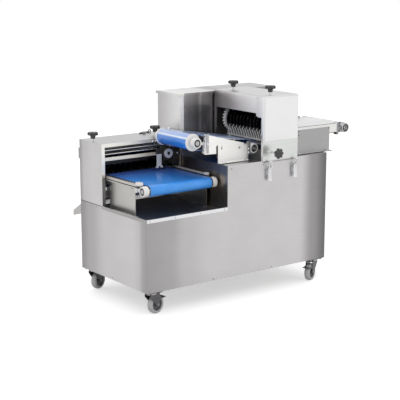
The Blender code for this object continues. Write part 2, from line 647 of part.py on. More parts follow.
def knife_head():
    """Box round the strip-cutting knives: mouths on both sides, bearings front and back."""
    base = HIGH_HEIGHT + GAP
    box = prism("knife_head", hood_outline(0, base), "Y", HEAD_FRONT, HEAD_BACK, STEEL)
    notch_y, notch_z = MOUTH_NOTCH
    mouth = [(MOUTH_FRONT, base - OVERRUN), (MOUTH_BACK, base - OVERRUN),
             (MOUTH_BACK, MOUTH_TOP), (MOUTH_FRONT + notch_y, MOUTH_TOP),
             (MOUTH_FRONT + notch_y, MOUTH_TOP - notch_z), (MOUTH_FRONT, MOUTH_TOP - notch_z)]
    feed = rectangle(FEED_MOUTH_FRONT, MOUTH_BACK, base - OVERRUN, FEED_MOUTH_TOP)
    carve(box,
          prism("head_inside", hood_outline(SHEET, base - OVERRUN), "Y", HEAD_FRONT + SHEET,
                HEAD_BACK - SHEET, STEEL),
          prism("strip_mouth", mouth, "X", HEAD_LEFT - OVERRUN, HEAD_LEFT + OVERRUN, STEEL),
          prism("feed_mouth", feed, "X", HEAD_RIGHT - OVERRUN, HEAD_RIGHT + OVERRUN, STEEL))
    rear = HEAD_BACK - SHEET
    for name, x, z, hub in (("knife", KNIFE_X, KNIFE_Z, KNIFE_HUB),
                            ("roller", BED_ROLLER_X, BED_ROLLER_Z, SHAFT_RADIUS)):
        blind_bearing(box, f"{name}_front", "Y", (x, z), HEAD_FRONT + SHEET, 1)
        weld(box, shaft(f"{name}_back_boss", hub + 0.012, "Y", (x, z), rear - BOSS_LENGTH,
                        rear + SINK, STEEL, 12))
        carve(box, shaft(f"{name}_back_bore", circumscribed(hub, 12), "Y", (x, z),
                         rear - BOSS_LENGTH - SINK, HEAD_BACK + OVERRUN, STEEL, 12))
    for name, x, y in HEAD_KNOBS:
        carve(box, shaft(f"{name}_hole", circumscribed(SPINDLE_RADIUS, 12), "Z", (x, y),
                         HEAD_TOP - OVERRUN, HEAD_TOP + OVERRUN, STEEL, 12))
    x, z = LOCK_KNOB
    carve(box, shaft("lock_hole", circumscribed(SPINDLE_RADIUS, 12), "Y", (x, z),
                     HEAD_FRONT - OVERRUN, HEAD_FRONT + OVERRUN, STEEL, 12))
    lip, floor = bail_out() - 0.0022 - GAP, STRIKE_Z - 0.0025
    face = HEAD_FRONT
    strike = [(face + SINK, STRIKE_TOP), (face - SHEET, STRIKE_TOP), (face - SHEET, floor),
              (lip, floor), (lip, STRIKE_Z + 0.002), (lip - SHEET, STRIKE_Z + 0.002),
              (lip - SHEET, floor - SHEET), (face - SINK / 2, floor - SHEET),
              (face - SINK / 2, base + SINK), (face + SINK, base + SINK)]
    for side, x in LATCH_X:
        weld(box, prism(f"strike_{side}", strike, "X", x - STRIKE_HALF, x + STRIKE_HALF, STEEL))


def gear_outline(teeth, pitch_radius, module, centre, phase):
    """Straight-flanked gear outline: root, flank and tip points for each tooth."""
    points = []
    step = 2 * math.pi / teeth
    tip = pitch_radius + GEAR_ADDENDUM * module
    root = pitch_radius - GEAR_DEDENDUM * module
    half = step * GEAR_THICKNESS / 2
    for k in range(teeth):
        middle = phase + k * step
        for radius, offset in ((root, -half * 1.35), (tip, -half * 0.55), (tip, half * 0.55),
                               (root, half * 1.35)):
            angle = middle + offset
            points.append((centre[0] + radius * math.cos(angle),
                           centre[1] + radius * math.sin(angle)))
    return points


def strip_knives():
    """Disc knives on their shaft, the bed roller under them, and the gears that pair them."""
    inner = HEAD_FRONT + SHEET + SHAFT_END_GAP
    boss = HEAD_FRONT + SHEET + BOSS_LENGTH + SHAFT_END_GAP
    back = CABINET_DEPTH - SHEET - SHAFT_END_GAP
    rear_boss = CABINET_DEPTH - SHEET - BOSS_LENGTH - SHAFT_END_GAP
    stack = disc_stack(KNIFE_FIRST_Y, KNIFE_COUNT, KNIFE_PITCH, KNIFE_RADIUS, KNIFE_HUB)
    knives = turned("strip_knife_shaft",
                    [(0, inner), (SHAFT_RADIUS, inner), (SHAFT_RADIUS, boss), (KNIFE_HUB, boss)]
                    + stack + [(KNIFE_HUB, rear_boss), (SHAFT_RADIUS, rear_boss),
                               (SHAFT_RADIUS, back), (0, back)],
                    "Y", (KNIFE_X, KNIFE_Z), KNIFE_STEEL, 18)
    end = DRIVE_FRONT + DRIVE_RECESS + SHEET + BOSS_LENGTH
    roller_end = HEAD_BACK - SHEET - BOSS_LENGTH - SHAFT_END_GAP
    roller = turned("strip_bed_roller",
                    [(0, inner), (SHAFT_RADIUS, inner), (SHAFT_RADIUS, boss),
                     (BED_ROLLER_RADIUS, boss), (BED_ROLLER_RADIUS, GEAR_Y - 0.002),
                     (SHAFT_RADIUS + 0.006, GEAR_Y - 0.002),
                     (SHAFT_RADIUS + 0.006, roller_end), (SHAFT_RADIUS, roller_end),
                     (SHAFT_RADIUS, end), (0, end)],
                    "Y", (BED_ROLLER_X, BED_ROLLER_Z), STEEL, 18)
    upper, lower = (KNIFE_X, KNIFE_Z), (BED_ROLLER_X, BED_ROLLER_Z)
    distance = math.dist(upper, lower)
    module = 2 * distance / sum(GEAR_TEETH)
    line = math.atan2(lower[1] - upper[1], lower[0] - upper[0])
    first, second = GEAR_TEETH
    gears = ((knives, "upper_gear", first, upper, line),
             (roller, "lower_gear", second, lower, line + math.pi + math.pi / second))
    for carrier, name, teeth, centre, phase in gears:
        outline = gear_outline(teeth, teeth * module / 2, module, centre, phase)
        weld(carrier, prism(name, outline, "Y", GEAR_Y, GEAR_Y + GEAR_WIDTH, STEEL))
    sprocket(knives, "knife_sprocket", KNIFE_X, KNIFE_Z)


def sprocket(carrier, name, x, z):
    """Chain wheel welded to the shaft that carries it."""
    radius = SPROCKET_RADIUS
    outline = []
    for k in range(SPROCKET_TEETH):
        for share, reach in ((0.0, radius), (0.5, radius - 0.006)):
            angle = 2 * math.pi * (k + share) / SPROCKET_TEETH
            outline.append((x + reach * math.cos(angle), z + reach * math.sin(angle)))
    weld(carrier, prism(name, outline, "Y", SPROCKET_Y, SPROCKET_Y + SPROCKET_WIDTH, STEEL))


def countershaft():
    """Drive shaft that the motor's chain turns, with the chain wheel to the knives."""
    front = DRIVE_FRONT + DRIVE_RECESS + SHEET
    inner = front + BOSS_LENGTH + SHAFT_END_GAP
    back = CABINET_DEPTH - SHEET
    outer = back - BOSS_LENGTH - SHAFT_END_GAP
    made = turned("countershaft",
                  [(0, front + SHAFT_END_GAP), (SHAFT_RADIUS, front + SHAFT_END_GAP),
                   (SHAFT_RADIUS, inner), (SHAFT_RADIUS + 0.004, inner),
                   (SHAFT_RADIUS + 0.004, outer), (SHAFT_RADIUS, outer),
                   (SHAFT_RADIUS, back - SHAFT_END_GAP), (0, back - SHAFT_END_GAP)],
                  "Y", (COUNTERSHAFT_X, COUNTERSHAFT_Z), STEEL, 16)
    sprocket(made, "counter_sprocket", COUNTERSHAFT_X, COUNTERSHAFT_Z)


def strip_comb():
    """Fingers between the blades that lead the strips down on to the sloping belt."""
    x0, x1 = HEAD_LEFT + 0.052, HEAD_LEFT + 0.060
    low = BED_ROLLER_Z + BED_ROLLER_RADIUS - 0.002
    outline = [(x0 + SINK, low - 0.004), (x0 - 0.026, low + 0.006), (x1, low + 0.030),
               (KNIFE_X - 0.026, low + 0.060), (x1 + 0.008, low + 0.012),
               (x1 - SINK, low - 0.004)]
    gap = (KNIFE_PITCH - BLADE) / 2
    fingers = [("Y", KNIFE_FIRST_Y + BLADE + gap - 0.0015 + k * KNIFE_PITCH, 0.003)
               for k in range(KNIFE_COUNT - 1)]
    comb("strip_comb", ((x0, HEAD_FRONT + SHEET + GAP, low - 0.010),
                        (x1, GEAR_Y - 0.006, low + 0.004)), fingers, outline, KNIFE_STEEL)


class Conveyor:
    """Belt conveyor in its own frame: U from the adjustable roller to the driven one, W up."""

    def __init__(self, name, origin, turn, length, belt_width, roller, plate_out):
        self.name, self.length, self.half, self.roller = name, length, belt_width / 2, roller
        self.plate_out = plate_out
        self.frame = empty(f"{name}_frame", origin, turn)

    def roller_solid(self, suffix, u, reach, flange=0.0):
        """Belt roller with its journals, and thin flanges beside the belt if it has them."""
        body, half = self.roller - BELT, self.half
        neck = [(0, -reach), (SHAFT_RADIUS, -reach), (SHAFT_RADIUS, -half - 0.006)]
        if flange:
            neck += [(flange, -half - 0.006), (flange, -half - 0.002), (body, -half - 0.002)]
        else:
            neck += [(body, -half - 0.006)]
        mirrored = [(radius, -position) for radius, position in reversed(neck)]
        return turned(f"{self.name}_{suffix}", neck + mirrored, "Y", (u, 0), STEEL,
                      2 * BELT_STEPS, self.frame)

    def belt(self, material):
        """Endless belt round both rollers."""
        steps = BELT_STEPS

        def loop(radius):
            ends = [(0.0, math.pi / 2), (self.length, -math.pi / 2)]
            return [(u + radius * math.cos(start + math.pi * i / steps),
                     radius * math.sin(start + math.pi * i / steps))
                    for u, start in ends for i in range(steps + 1)]
        inner = (self.roller - BELT) / math.cos(math.pi / (2 * steps)) + BELT_PLAY
        ring_prism(f"{self.name}_belt", loop(self.roller), loop(inner), "Y", -self.half,
                   self.half, material, parent=self.frame)

    def bed(self, carrier, side, inner_plate):
        """Slider sheet under the carrying run, on two tubes welded to one side plate."""
        top = self.roller - BELT - 2 * GAP
        start, end = self.roller + 0.010, self.length - self.roller - 0.010
        near, far = sorted((side * (inner_plate + SINK), -side * (inner_plate - GAP)))
        low = top - BED_SHEET - TUBE_DROP
        for k, u in enumerate((self.length * 0.3, self.length * 0.7)):
            weld(carrier, shaft(f"{self.name}_tube_{k}", CROSS_TUBE, "Y", (u, low), near, far,
                                STEEL, 8, self.frame),
                 block(f"{self.name}_rib_{k}", (u - BED_SHEET, 2 * SINK - self.half, low),
                       (u + BED_SHEET, self.half - 2 * SINK, top - SINK), STEEL,
                       parent=self.frame))
        weld(carrier, block(f"{self.name}_bed", (start, -self.half, top - BED_SHEET),
                            (end, self.half, top), STEEL, parent=self.frame))

    def bearing(self, name, u, heading, side, span, arm, tab, height):
        """Cup bearing on an arm, with its tab and bolt; heading points to the side plate."""
        near, far = (side * v for v in span)
        cup = BEARING_RADIUS
        bore = circumscribed(SHAFT_RADIUS, 2 * BELT_STEPS)
        mouth = far - side * 0.008
        made = turned(name, [(bore, near), (cup, near), (cup, far), (cup - 0.006, far),
                             (bore, mouth)], "Y", (u, 0), STEEL, 2 * BELT_STEPS, self.frame)

        def box(suffix, start, end, v0, v1, half_height):
            u0, u1 = sorted((u + heading * start, u + heading * end))
            low, high = sorted((side * v0, side * v1))
            return block(f"{name}_{suffix}", (u0, low, -half_height),
                         (u1, high, half_height), STEEL, parent=self.frame)
        edge = PLATE_START - GAP
        weld(made, box("arm", cup * 0.86, edge - TAB_THICKNESS + SINK, arm[0], arm[1], 0.008),
             box("tab", edge - TAB_THICKNESS, edge, tab[0], tab[1], height / 2))
        return made

    def plate(self, name, outline, side, thickness):
        near, far = sorted((side * (self.plate_out - thickness), side * self.plate_out))
        return prism(name, outline, "Y", near, far, STEEL, parent=self.frame)


def end_bearing(line, plate, side, thickness, span, arm, tab, height):
    """Fixed bearing at the driven end, joined to its side plate by a link between them."""
    name = f"{plate.name}_bearing"
    edge = line.length - PLATE_START
    made = line.bearing(name, line.length, -1, side, span, arm, tab, height)
    low, high = sorted(side * (line.plate_out - share * thickness) for share in (0.2, 0.8))
    weld(made, block(f"{name}_link", (edge - 2 * SINK, low, -0.012), (edge + 2 * SINK, high, 0.012),
                     STEEL, parent=line.frame))
    return made


def lower_conveyor():
    """Level belt into the lower housing; its plates stand on the cabinet's deck."""
    line = Conveyor("lower", (LOWER_BELT_X, LOWER_BELT_Y, LOWER_BELT_Z),
                    Matrix.Rotation(math.radians(90), 4, "Z"), LOWER_BELT_LENGTH,
                    LOWER_BELT_WIDTH, LOWER_ROLLER, LOWER_PLATE_OUT)
    thickness = 0.003
    out, inner = line.plate_out, line.plate_out - thickness
    span, arm = (line.half + 0.009, inner - 0.002), (inner - 0.020, inner - 0.003)
    tab = (inner - 0.024, out)
    foot = LOW_HEIGHT - TRAY_DEPTH + GAP - LOWER_BELT_Z
    top = 0.019
    plate_end = line.length - PLATE_START
    heel_end = plate_end - JAMB_NOTCH
    outline = [(PLATE_START, foot), (heel_end, foot), (heel_end, -0.012), (plate_end, -0.012),
               (plate_end, top), (PLATE_START, top)]
    rail = rectangle(PLATE_START - 0.022, line.length + 0.030, top - SINK, top + 0.014)
    for suffix, side in (("left", 1), ("right", -1)):
        plate = line.plate(f"lower_plate_{suffix}", outline, side, thickness)
        low, high = sorted((side * (inner - 0.017), side * (out + 0.002)))
        weld(plate, prism(f"lower_rail_{suffix}", rail, "Y", low, high, STEEL,
                          parent=line.frame))
        heel_low, heel_high = sorted((side * inner, side * (inner - 0.016)))
        weld(plate, block(f"lower_heel_{suffix}", (PLATE_START, heel_low, foot),
                          (heel_end, heel_high, foot + 0.003), STEEL, parent=line.frame))
        weld(plate, end_bearing(line, plate, side, thickness, span, arm, tab, 0.028))
        if side < 0:
            line.bed(plate, side, inner)
        line.bearing(f"lower_take_up_{suffix}", 0, 1, side, span, arm, tab, 0.028)
    line.roller_solid("front_roller", 0, line.half + 0.030)
    line.roller_solid("rear_roller", line.length, line.half + 0.030)
    line.belt(BELT_BLUE)


def upper_conveyor():
    """Belt that climbs from the knives to its drop end over the lower belt."""
    tilt = Matrix.Rotation(math.radians(UPPER_BELT_FALL), 4, "Y")
    line = Conveyor("upper", (UPPER_BELT_X, UPPER_BELT_Y, UPPER_BELT_Z), tilt,
                    UPPER_BELT_LENGTH, UPPER_BELT_WIDTH, UPPER_ROLLER, UPPER_PLATE_OUT)
    thickness = 0.005
    out, inner = line.plate_out, line.plate_out - thickness
    arm = (inner - 0.002, out - 0.001)
    plate_end = line.length - PLATE_START
    outline = [(PLATE_START, -0.058), (PLATE_START, 0.050), (plate_end - 0.012, 0.026),
               (plate_end, 0.014), (plate_end, -0.024)]
    for suffix, side in (("front", -1), ("rear", 1)):
        plate = line.plate(f"upper_plate_{suffix}", outline, side, thickness)
        weld(plate, end_bearing(line, plate, side, thickness, (line.half + 0.012, out), arm,
                                (inner - SINK, out), 0.034))
        if suffix == "rear":
            seat = UPPER_BELT_Y + out - SUPPORT_SHEET
            weld(plate, *upper_support("upper_rear_foot", seat, 1, SINK))
            line.bed(plate, side, inner)
        line.bearing(f"upper_take_up_{suffix}", 0, 1, side, (line.half + 0.012, out + 0.013),
                     arm, (inner, out + 0.012), 0.104)
    front = UPPER_BELT_Y - out - GAP
    support, foot = upper_support("upper_support", front - SUPPORT_SHEET, -1, 0)
    weld(support, foot)
    line.roller_solid("drop_roller", 0, out + 0.004, UPPER_ROLLER + 0.001)
    line.roller_solid("drive_roller", line.length, out - 0.003)
    line.belt(BELT_BLUE)


def upper_support(name, y, heading, lift):
    """Upright plate and the foot flange that screws down on the cabinet."""
    base = HIGH_HEIGHT + GAP
    left, right = UPPER_SUPPORT_LEFT, UPPER_SUPPORT_RIGHT
    outline = [(left, base), (right, base), (right, UPPER_SUPPORT_TOP[1] + lift),
               (left, UPPER_SUPPORT_TOP[0] + lift)]
    upright = prism(name, outline, "Y", y, y + SUPPORT_SHEET, STEEL)
    low, high = sorted((y + SUPPORT_SHEET / 2, y + SUPPORT_SHEET / 2 + heading * FOOT_WIDTH))
    foot = block(f"{name}_flange", (STEP_X + 0.002, low, base),
                 (right + 0.012, high, base + SUPPORT_SHEET), STEEL)
    return upright, foot


def infeed_conveyor():
    """Level feed belt that reaches into the knife head, on plates that overhang the cabinet."""
    line = Conveyor("infeed", (INFEED_X, INFEED_Y, INFEED_Z),
                    Matrix.Rotation(math.radians(180), 4, "Z"), INFEED_LENGTH, INFEED_WIDTH,
                    INFEED_ROLLER, INFEED_PLATE_OUT)
    thickness = 0.004
    out, inner = line.plate_out, line.plate_out - thickness
    span, arm = (line.half + 0.009, inner - 0.001), (inner - 0.018, inner - 0.002)
    tab = (inner - 0.022, out)
    plate_end = line.length - PLATE_START
    outline = [(PLATE_START, -0.018), (PLATE_START, 0.036), (plate_end, 0.036),
               (plate_end, -0.018)]
    for suffix, side in (("front", 1), ("rear", -1)):
        plate = line.plate(f"infeed_plate_{suffix}", outline, side, thickness)
        weld(plate, end_bearing(line, plate, side, thickness, span, arm, tab, 0.036))
        if suffix == "rear":
            weld(plate, *infeed_support("infeed_rear_foot", INFEED_Y + out - SUPPORT_SHEET, 1))
            line.bed(plate, side, inner)
        line.bearing(f"infeed_take_up_{suffix}", 0, 1, side, span, arm, tab, 0.069)
    front = INFEED_Y - out - GAP
    support, foot = infeed_support("infeed_support", front - SUPPORT_SHEET, -1)
    weld(support, foot)
    line.roller_solid("outer_roller", 0, line.half + 0.026)
    line.roller_solid("inner_roller", line.length, line.half + 0.026)
    line.belt(BELT_WHITE)


def infeed_support(name, y, heading):
    """Upright plate beside the head, with its foot flange past the cabinet's right face."""
    base = HIGH_HEIGHT + GAP
    left, right = HEAD_RIGHT + 0.003, INFEED_SUPPORT_RIGHT
    upright = block(name, (left, y, base), (right, y + SUPPORT_SHEET, INFEED_SUPPORT_TOP), STEEL)
    low, high = sorted((y + SUPPORT_SHEET / 2, y + SUPPORT_SHEET / 2 + heading * FOOT_WIDTH))
    foot = block(f"{name}_flange", (left, low, base), (right + 0.006, high, base + SUPPORT_SHEET),
                 STEEL)
    return upright, foot


def star_knob(name, axis, centre, seat, heading, stand, inside):
    """Lobed knob on its spindle; seat is the face it stands on, heading its outward sign."""
    under = seat + heading * stand
    top = under + heading * KNOB_HEIGHT
    shoulder = top - heading * KNOB_HEAD
    start = seat - heading * inside
    r = KNOB_RADIUS
    profile = [(0, start), (SPINDLE_RADIUS, start), (SPINDLE_RADIUS, under),
               (KNOB_SKIRT, under), (KNOB_SKIRT, shoulder), (r, shoulder),
               (r, shoulder + heading * KNOB_HEAD * 0.7), (0, top)]

    def lobes(angle, index):
        return 1.0 + KNOB_WAVE * math.cos(KNOB_LOBES * angle) if index in (5, 6) else 1.0
    return turned(name, profile, axis, centre, KNOB_BLACK, 3 * KNOB_LOBES, waves=lobes)


def bail_out():
    """How far in front of the cabinet the bail's plane lies, as a machine Y."""
    return -LATCH_PIVOT_OUT - BAIL_ARM


def latch(side, x):
    """Draw latch: base with two ears, lever on its pin, and the bail that pulls the head down."""
    z, y = LATCH_PIVOT_Z, -LATCH_PIVOT_OUT
    ear_in, ear_out = LEVER_WIDTH / 2 + 0.0006, LEVER_WIDTH / 2 + 0.0026
    base = block(f"latch_base_{side}", (x - ear_out, -0.0023, z - 0.045),
                 (x + ear_out, -GAP, z + 0.014), STEEL)
    ear = [(-0.0015, z - 0.012), (-0.0015, z + 0.012)] + \
          [(y - 0.005 * math.cos(t), z + 0.005 * math.sin(t)) for t in (1.2, 0.4, -0.4, -1.2)]
    pin_hole = circumscribed(0.0025, 8)
    for k, sign in enumerate((-1, 1)):
        near, far = sorted((x + sign * ear_in, x + sign * ear_out))
        weld(base, prism(f"ear_{side}_{k}", ear, "X", near, far, STEEL))
    carve(base, shaft(f"ear_hole_{side}", pin_hole, "X", (y, z), x - ear_out - 0.004,
                      x + ear_out + 0.004, STEEL, 8))
    pivot = empty(f"latch_frame_{side}", (x, y, z))
    half = LEVER_WIDTH / 2
    lever_shape = [(-0.0035, 0.005), (-0.006, 0.005), (-0.0075, -0.010),
                   (-0.0075, -LEVER_LENGTH + 0.012), (-0.0105, -LEVER_LENGTH),
                   (-0.0080, -LEVER_LENGTH), (-0.0050, -LEVER_LENGTH + 0.012),
                   (-0.0050, -0.012), (0.0035, -0.004), (0.0035, 0.003)]
    lever = prism(f"latch_lever_{side}", lever_shape, "X", -half, half, STEEL, parent=pivot)
    weld(lever, shaft(f"lever_pin_{side}", 0.0025, "X", (0, 0), -ear_out - 0.001,
                      ear_out + 0.001, STEEL, 8, pivot))
    lug = [(-0.004, -0.003), (-BAIL_ARM, -0.003), (-BAIL_ARM - 0.003, 0), (-BAIL_ARM, 0.003),
           (-0.004, 0.003)]
    leg_in, leg_out = STRIKE_HALF + 0.0012, STRIKE_HALF + 0.0035
    weld(lever, prism(f"lever_lug_{side}", lug, "X", -0.005, 0.005, STEEL, parent=pivot),
         shaft(f"bail_pin_{side}", 0.002, "X", (-BAIL_ARM, 0), -leg_out - 0.0004,
               leg_out + 0.0004, STEEL, 8, pivot))
    rise = STRIKE_Z - LATCH_PIVOT_Z
    hook = empty(f"bail_frame_{side}", (0, -BAIL_ARM, 0), parent=pivot)
    leg = [(-0.0022, rise + 0.0022), (-0.0022, 0.003), (-0.0036, 0), (-0.0022, -0.003),
           (0.0022, -0.003), (0.0036, 0), (0.0022, 0.003), (0.0022, rise + 0.0022)]
    bail = prism(f"latch_bail_{side}", rectangle(-0.002, 0.002, rise - 0.002, rise + 0.002),
                 "X", -leg_in - SINK, leg_in + SINK, STEEL, parent=hook)
    for k, sign in enumerate((-1, 1)):
        near, far = sorted((sign * leg_in, sign * leg_out))
        weld(bail, prism(f"bail_leg_{side}_{k}", leg, "X", near, far, STEEL, parent=hook))
    carve(bail, shaft(f"bail_eye_{side}", circumscribed(0.002, 8), "X", (0, 0), -leg_out - SINK,
                      leg_out + SINK, STEEL, 8, hook))


def gearmotor():
    """Worm gearmotor on the floor bars inside the cabinet."""
    length, width, height = GEARBOX
    base = RAIL_BAR + GAP
    axis_z = base + height * 0.5
    front = CABINET_DEPTH - RAIL_INSET - RAIL_BAR / 2
    body = block("gearmotor", (MOTOR_X - length / 2, MOTOR_Y - width / 2, base),
                 (MOTOR_X + length / 2, MOTOR_Y + width / 2, base + height), CAST_IRON)
    foot = block("motor_foot", (MOTOR_X - length / 2, RAIL_INSET - RAIL_BAR / 2, base),
                 (MOTOR_X + length / 2, front + RAIL_BAR, base + 0.012), CAST_IRON)
    start = MOTOR_X + length / 2 - 0.010
    end = start + MOTOR_LENGTH
    radius = MOTOR_RADIUS
    can = turned("motor_can", [(0, start), (radius, start), (radius, end - 0.050),
                               (radius * 0.95, end - 0.050), (radius * 0.95, end - 0.010),
                               (radius * 0.80, end), (0, end)], "X", (MOTOR_Y, axis_z),
                 CAST_IRON, 16)
    out = shaft("output_shaft", SHAFT_RADIUS, "Y", (MOTOR_X, axis_z),
                MOTOR_Y + width / 2 - OVERRUN, MOTOR_Y + width / 2 + 0.060, STEEL, 12)
    weld(body, foot, can, out)


cabinet()
cabinet_floor()
rear_panel()
rim_strip()
for place in castor_places():
    castor(*place)
lower_housing()
guard_bars()
cross_knives()
dice_comb()
chute()
drive_box()
drive_roof()
countershaft()
knife_head()
strip_knives()
strip_comb()
lower_conveyor()
upper_conveyor()
infeed_conveyor()
for knob_name, knob_x, knob_y in LOW_KNOBS:
    star_knob(knob_name, "Z", (knob_x, knob_y), HOUSING_TOP, 1, KNOB_STAND, 0.020)
for knob_name, knob_x, knob_y in HEAD_KNOBS:
    star_knob(knob_name, "Z", (knob_x, knob_y), HEAD_TOP, 1, KNOB_STAND, 0.020)
star_knob("lock_knob", "Y", LOCK_KNOB, HEAD_FRONT, -1, LOCK_STAND, 0.010)
for latch_side, latch_x in LATCH_X:
    latch(latch_side, latch_x)
gearmotor()
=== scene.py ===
"""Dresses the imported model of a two-stage meat dicing machine and sets its studio.

Sizes and places are written in millimetres, and MM turns them to metres where a shape is made.
A place (x, y, z) is measured from the cabinet's low front left corner: x to the right, y to the
back, z up.
"""

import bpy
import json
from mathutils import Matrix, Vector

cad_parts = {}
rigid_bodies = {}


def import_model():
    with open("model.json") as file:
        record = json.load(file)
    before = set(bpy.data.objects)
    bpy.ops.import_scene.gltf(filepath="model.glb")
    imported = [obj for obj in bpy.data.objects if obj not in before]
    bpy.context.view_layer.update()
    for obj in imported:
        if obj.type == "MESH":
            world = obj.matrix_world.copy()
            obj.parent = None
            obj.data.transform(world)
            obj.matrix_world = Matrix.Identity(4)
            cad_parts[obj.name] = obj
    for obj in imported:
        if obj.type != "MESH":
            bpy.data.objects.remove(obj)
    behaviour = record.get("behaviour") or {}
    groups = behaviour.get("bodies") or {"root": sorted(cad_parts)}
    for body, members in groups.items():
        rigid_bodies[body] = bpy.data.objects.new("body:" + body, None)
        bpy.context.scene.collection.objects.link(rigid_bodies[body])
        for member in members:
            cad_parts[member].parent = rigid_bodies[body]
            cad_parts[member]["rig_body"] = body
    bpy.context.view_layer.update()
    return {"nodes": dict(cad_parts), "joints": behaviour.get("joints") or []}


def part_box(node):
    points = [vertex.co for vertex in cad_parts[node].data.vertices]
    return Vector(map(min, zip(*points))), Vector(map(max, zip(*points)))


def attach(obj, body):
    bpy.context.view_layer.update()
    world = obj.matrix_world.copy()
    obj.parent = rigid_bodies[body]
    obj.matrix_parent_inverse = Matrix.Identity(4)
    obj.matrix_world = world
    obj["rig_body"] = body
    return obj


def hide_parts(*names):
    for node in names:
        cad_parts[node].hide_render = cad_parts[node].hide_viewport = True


bl_info = {
    "name": "Meat Dicer Dressing",
    "version": (1, 0, 0),
    "blender": (4, 5, 0),
    "location": "3D View > Sidebar > Dicer",
    "description": "Finishes the sheet metal, belts, knives, knobs and castors of a meat dicer",
    "category": "Object",
}

import json
import math

import bmesh
import bpy
import numpy as np
from bpy.props import FloatProperty, FloatVectorProperty, IntProperty, PointerProperty
from mathutils import Vector

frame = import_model()
PIVOTS = {joint["name"]: (np.array(joint["pos_m"]), np.array(joint["axis"], float))
          for joint in frame["joints"]}
X, Y, Z = np.eye(3)
MM = 0.001
SKIN = 0.2  # how far a turned shaft's end stays inside the solid's end
JOURNAL = 9.8  # radius of a shaft's ends


def linear(text):
    """sRGB hex colour to linear RGBA."""
    part = np.array([int(text[k:k + 2], 16) / 255 for k in (1, 3, 5)])
    value = np.where(part <= 0.04045, part / 12.92, ((part + 0.055) / 1.055) ** 2.4)
    return (*value.tolist(), 1.0)


def corners(node):
    """Lowest and highest corner of a node as arrays, in metres."""
    low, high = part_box(node)
    return np.array(low), np.array(high)


def centre_of(node):
    """Middle of a node's box, in metres."""
    low, high = corners(node)
    return (low + high) / 2


ORIGIN = corners("cabinet_shell")[0]


def at(*place):
    """Place measured from the cabinet's corner, in the model's frame."""
    return ORIGIN + MM * np.array(place, float)


def axle(joint, axis):
    """The point on a joint's axis that is level with the cabinet's corner."""
    return PIVOTS[joint][0] * (1 - axis) + ORIGIN * axis


# Shapes

def angles(steps):
    """Equal steps of angle round a circle, starting at 0."""
    return np.arange(steps) * 2 * np.pi / steps


def around(steps, one, two):
    """Directions one * cos angle + two * sin angle in equal steps round a circle."""
    angle = angles(steps)[:, None]
    return np.cos(angle) * one + np.sin(angle) * two


def lofted(rows, steps, origin, axis, one, two):
    """Rows of (radius, along) carried round an axis; a radius may differ at each angle.

    point = origin + axis * along + radius * (one * cos angle + two * sin angle)
    """
    ring = around(steps, one, two)
    return np.stack([origin + MM * (axis * along + np.broadcast_to(radius, steps)[:, None] * ring)
                     for radius, along in rows])


def turned(profile, origin, axis, steps=48):
    """A profile of (radius, along) turned about any axis, by the formula of lofted."""
    axis = np.asarray(axis, float) / np.linalg.norm(axis)
    side = np.cross(axis, Z if abs(axis[2]) < 0.9 else X)
    side /= np.linalg.norm(side)
    return lofted(profile, steps, origin, axis, side, np.cross(axis, side))


def mirrored(profile):
    """Half a profile of (radius, along) and its mirror image, with along turned round."""
    return profile + [(radius, -along) for radius, along in reversed(profile)]


def swept(path, section, normal):
    """A flat section carried along a path that lies in the plane square to normal.

    point = path + normal * section_x + (tangent x normal) * section_y
    """
    tangent = np.gradient(path, axis=0)
    tangent /= np.linalg.norm(tangent, axis=1)[:, None]
    across = np.cross(tangent, normal)
    one, two = MM * np.asarray(section).T
    return path[:, None] + one[None, :, None] * normal + two[None, :, None] * across[:, None]


def rounded(width, height, radius, steps=4):
    """Outline of a rectangle centred on 0 whose corners are quarter circles."""
    quarter = np.linspace(0, np.pi / 2, steps + 1)
    turns = np.concatenate([quarter + k * np.pi / 2 for k in range(4)])
    sign = np.repeat([(1, 1), (-1, 1), (-1, -1), (1, -1)], steps + 1, axis=0)
    middle = sign * (width / 2 - radius, height / 2 - radius)
    return middle + radius * np.stack([np.cos(turns), np.sin(turns)], axis=1)


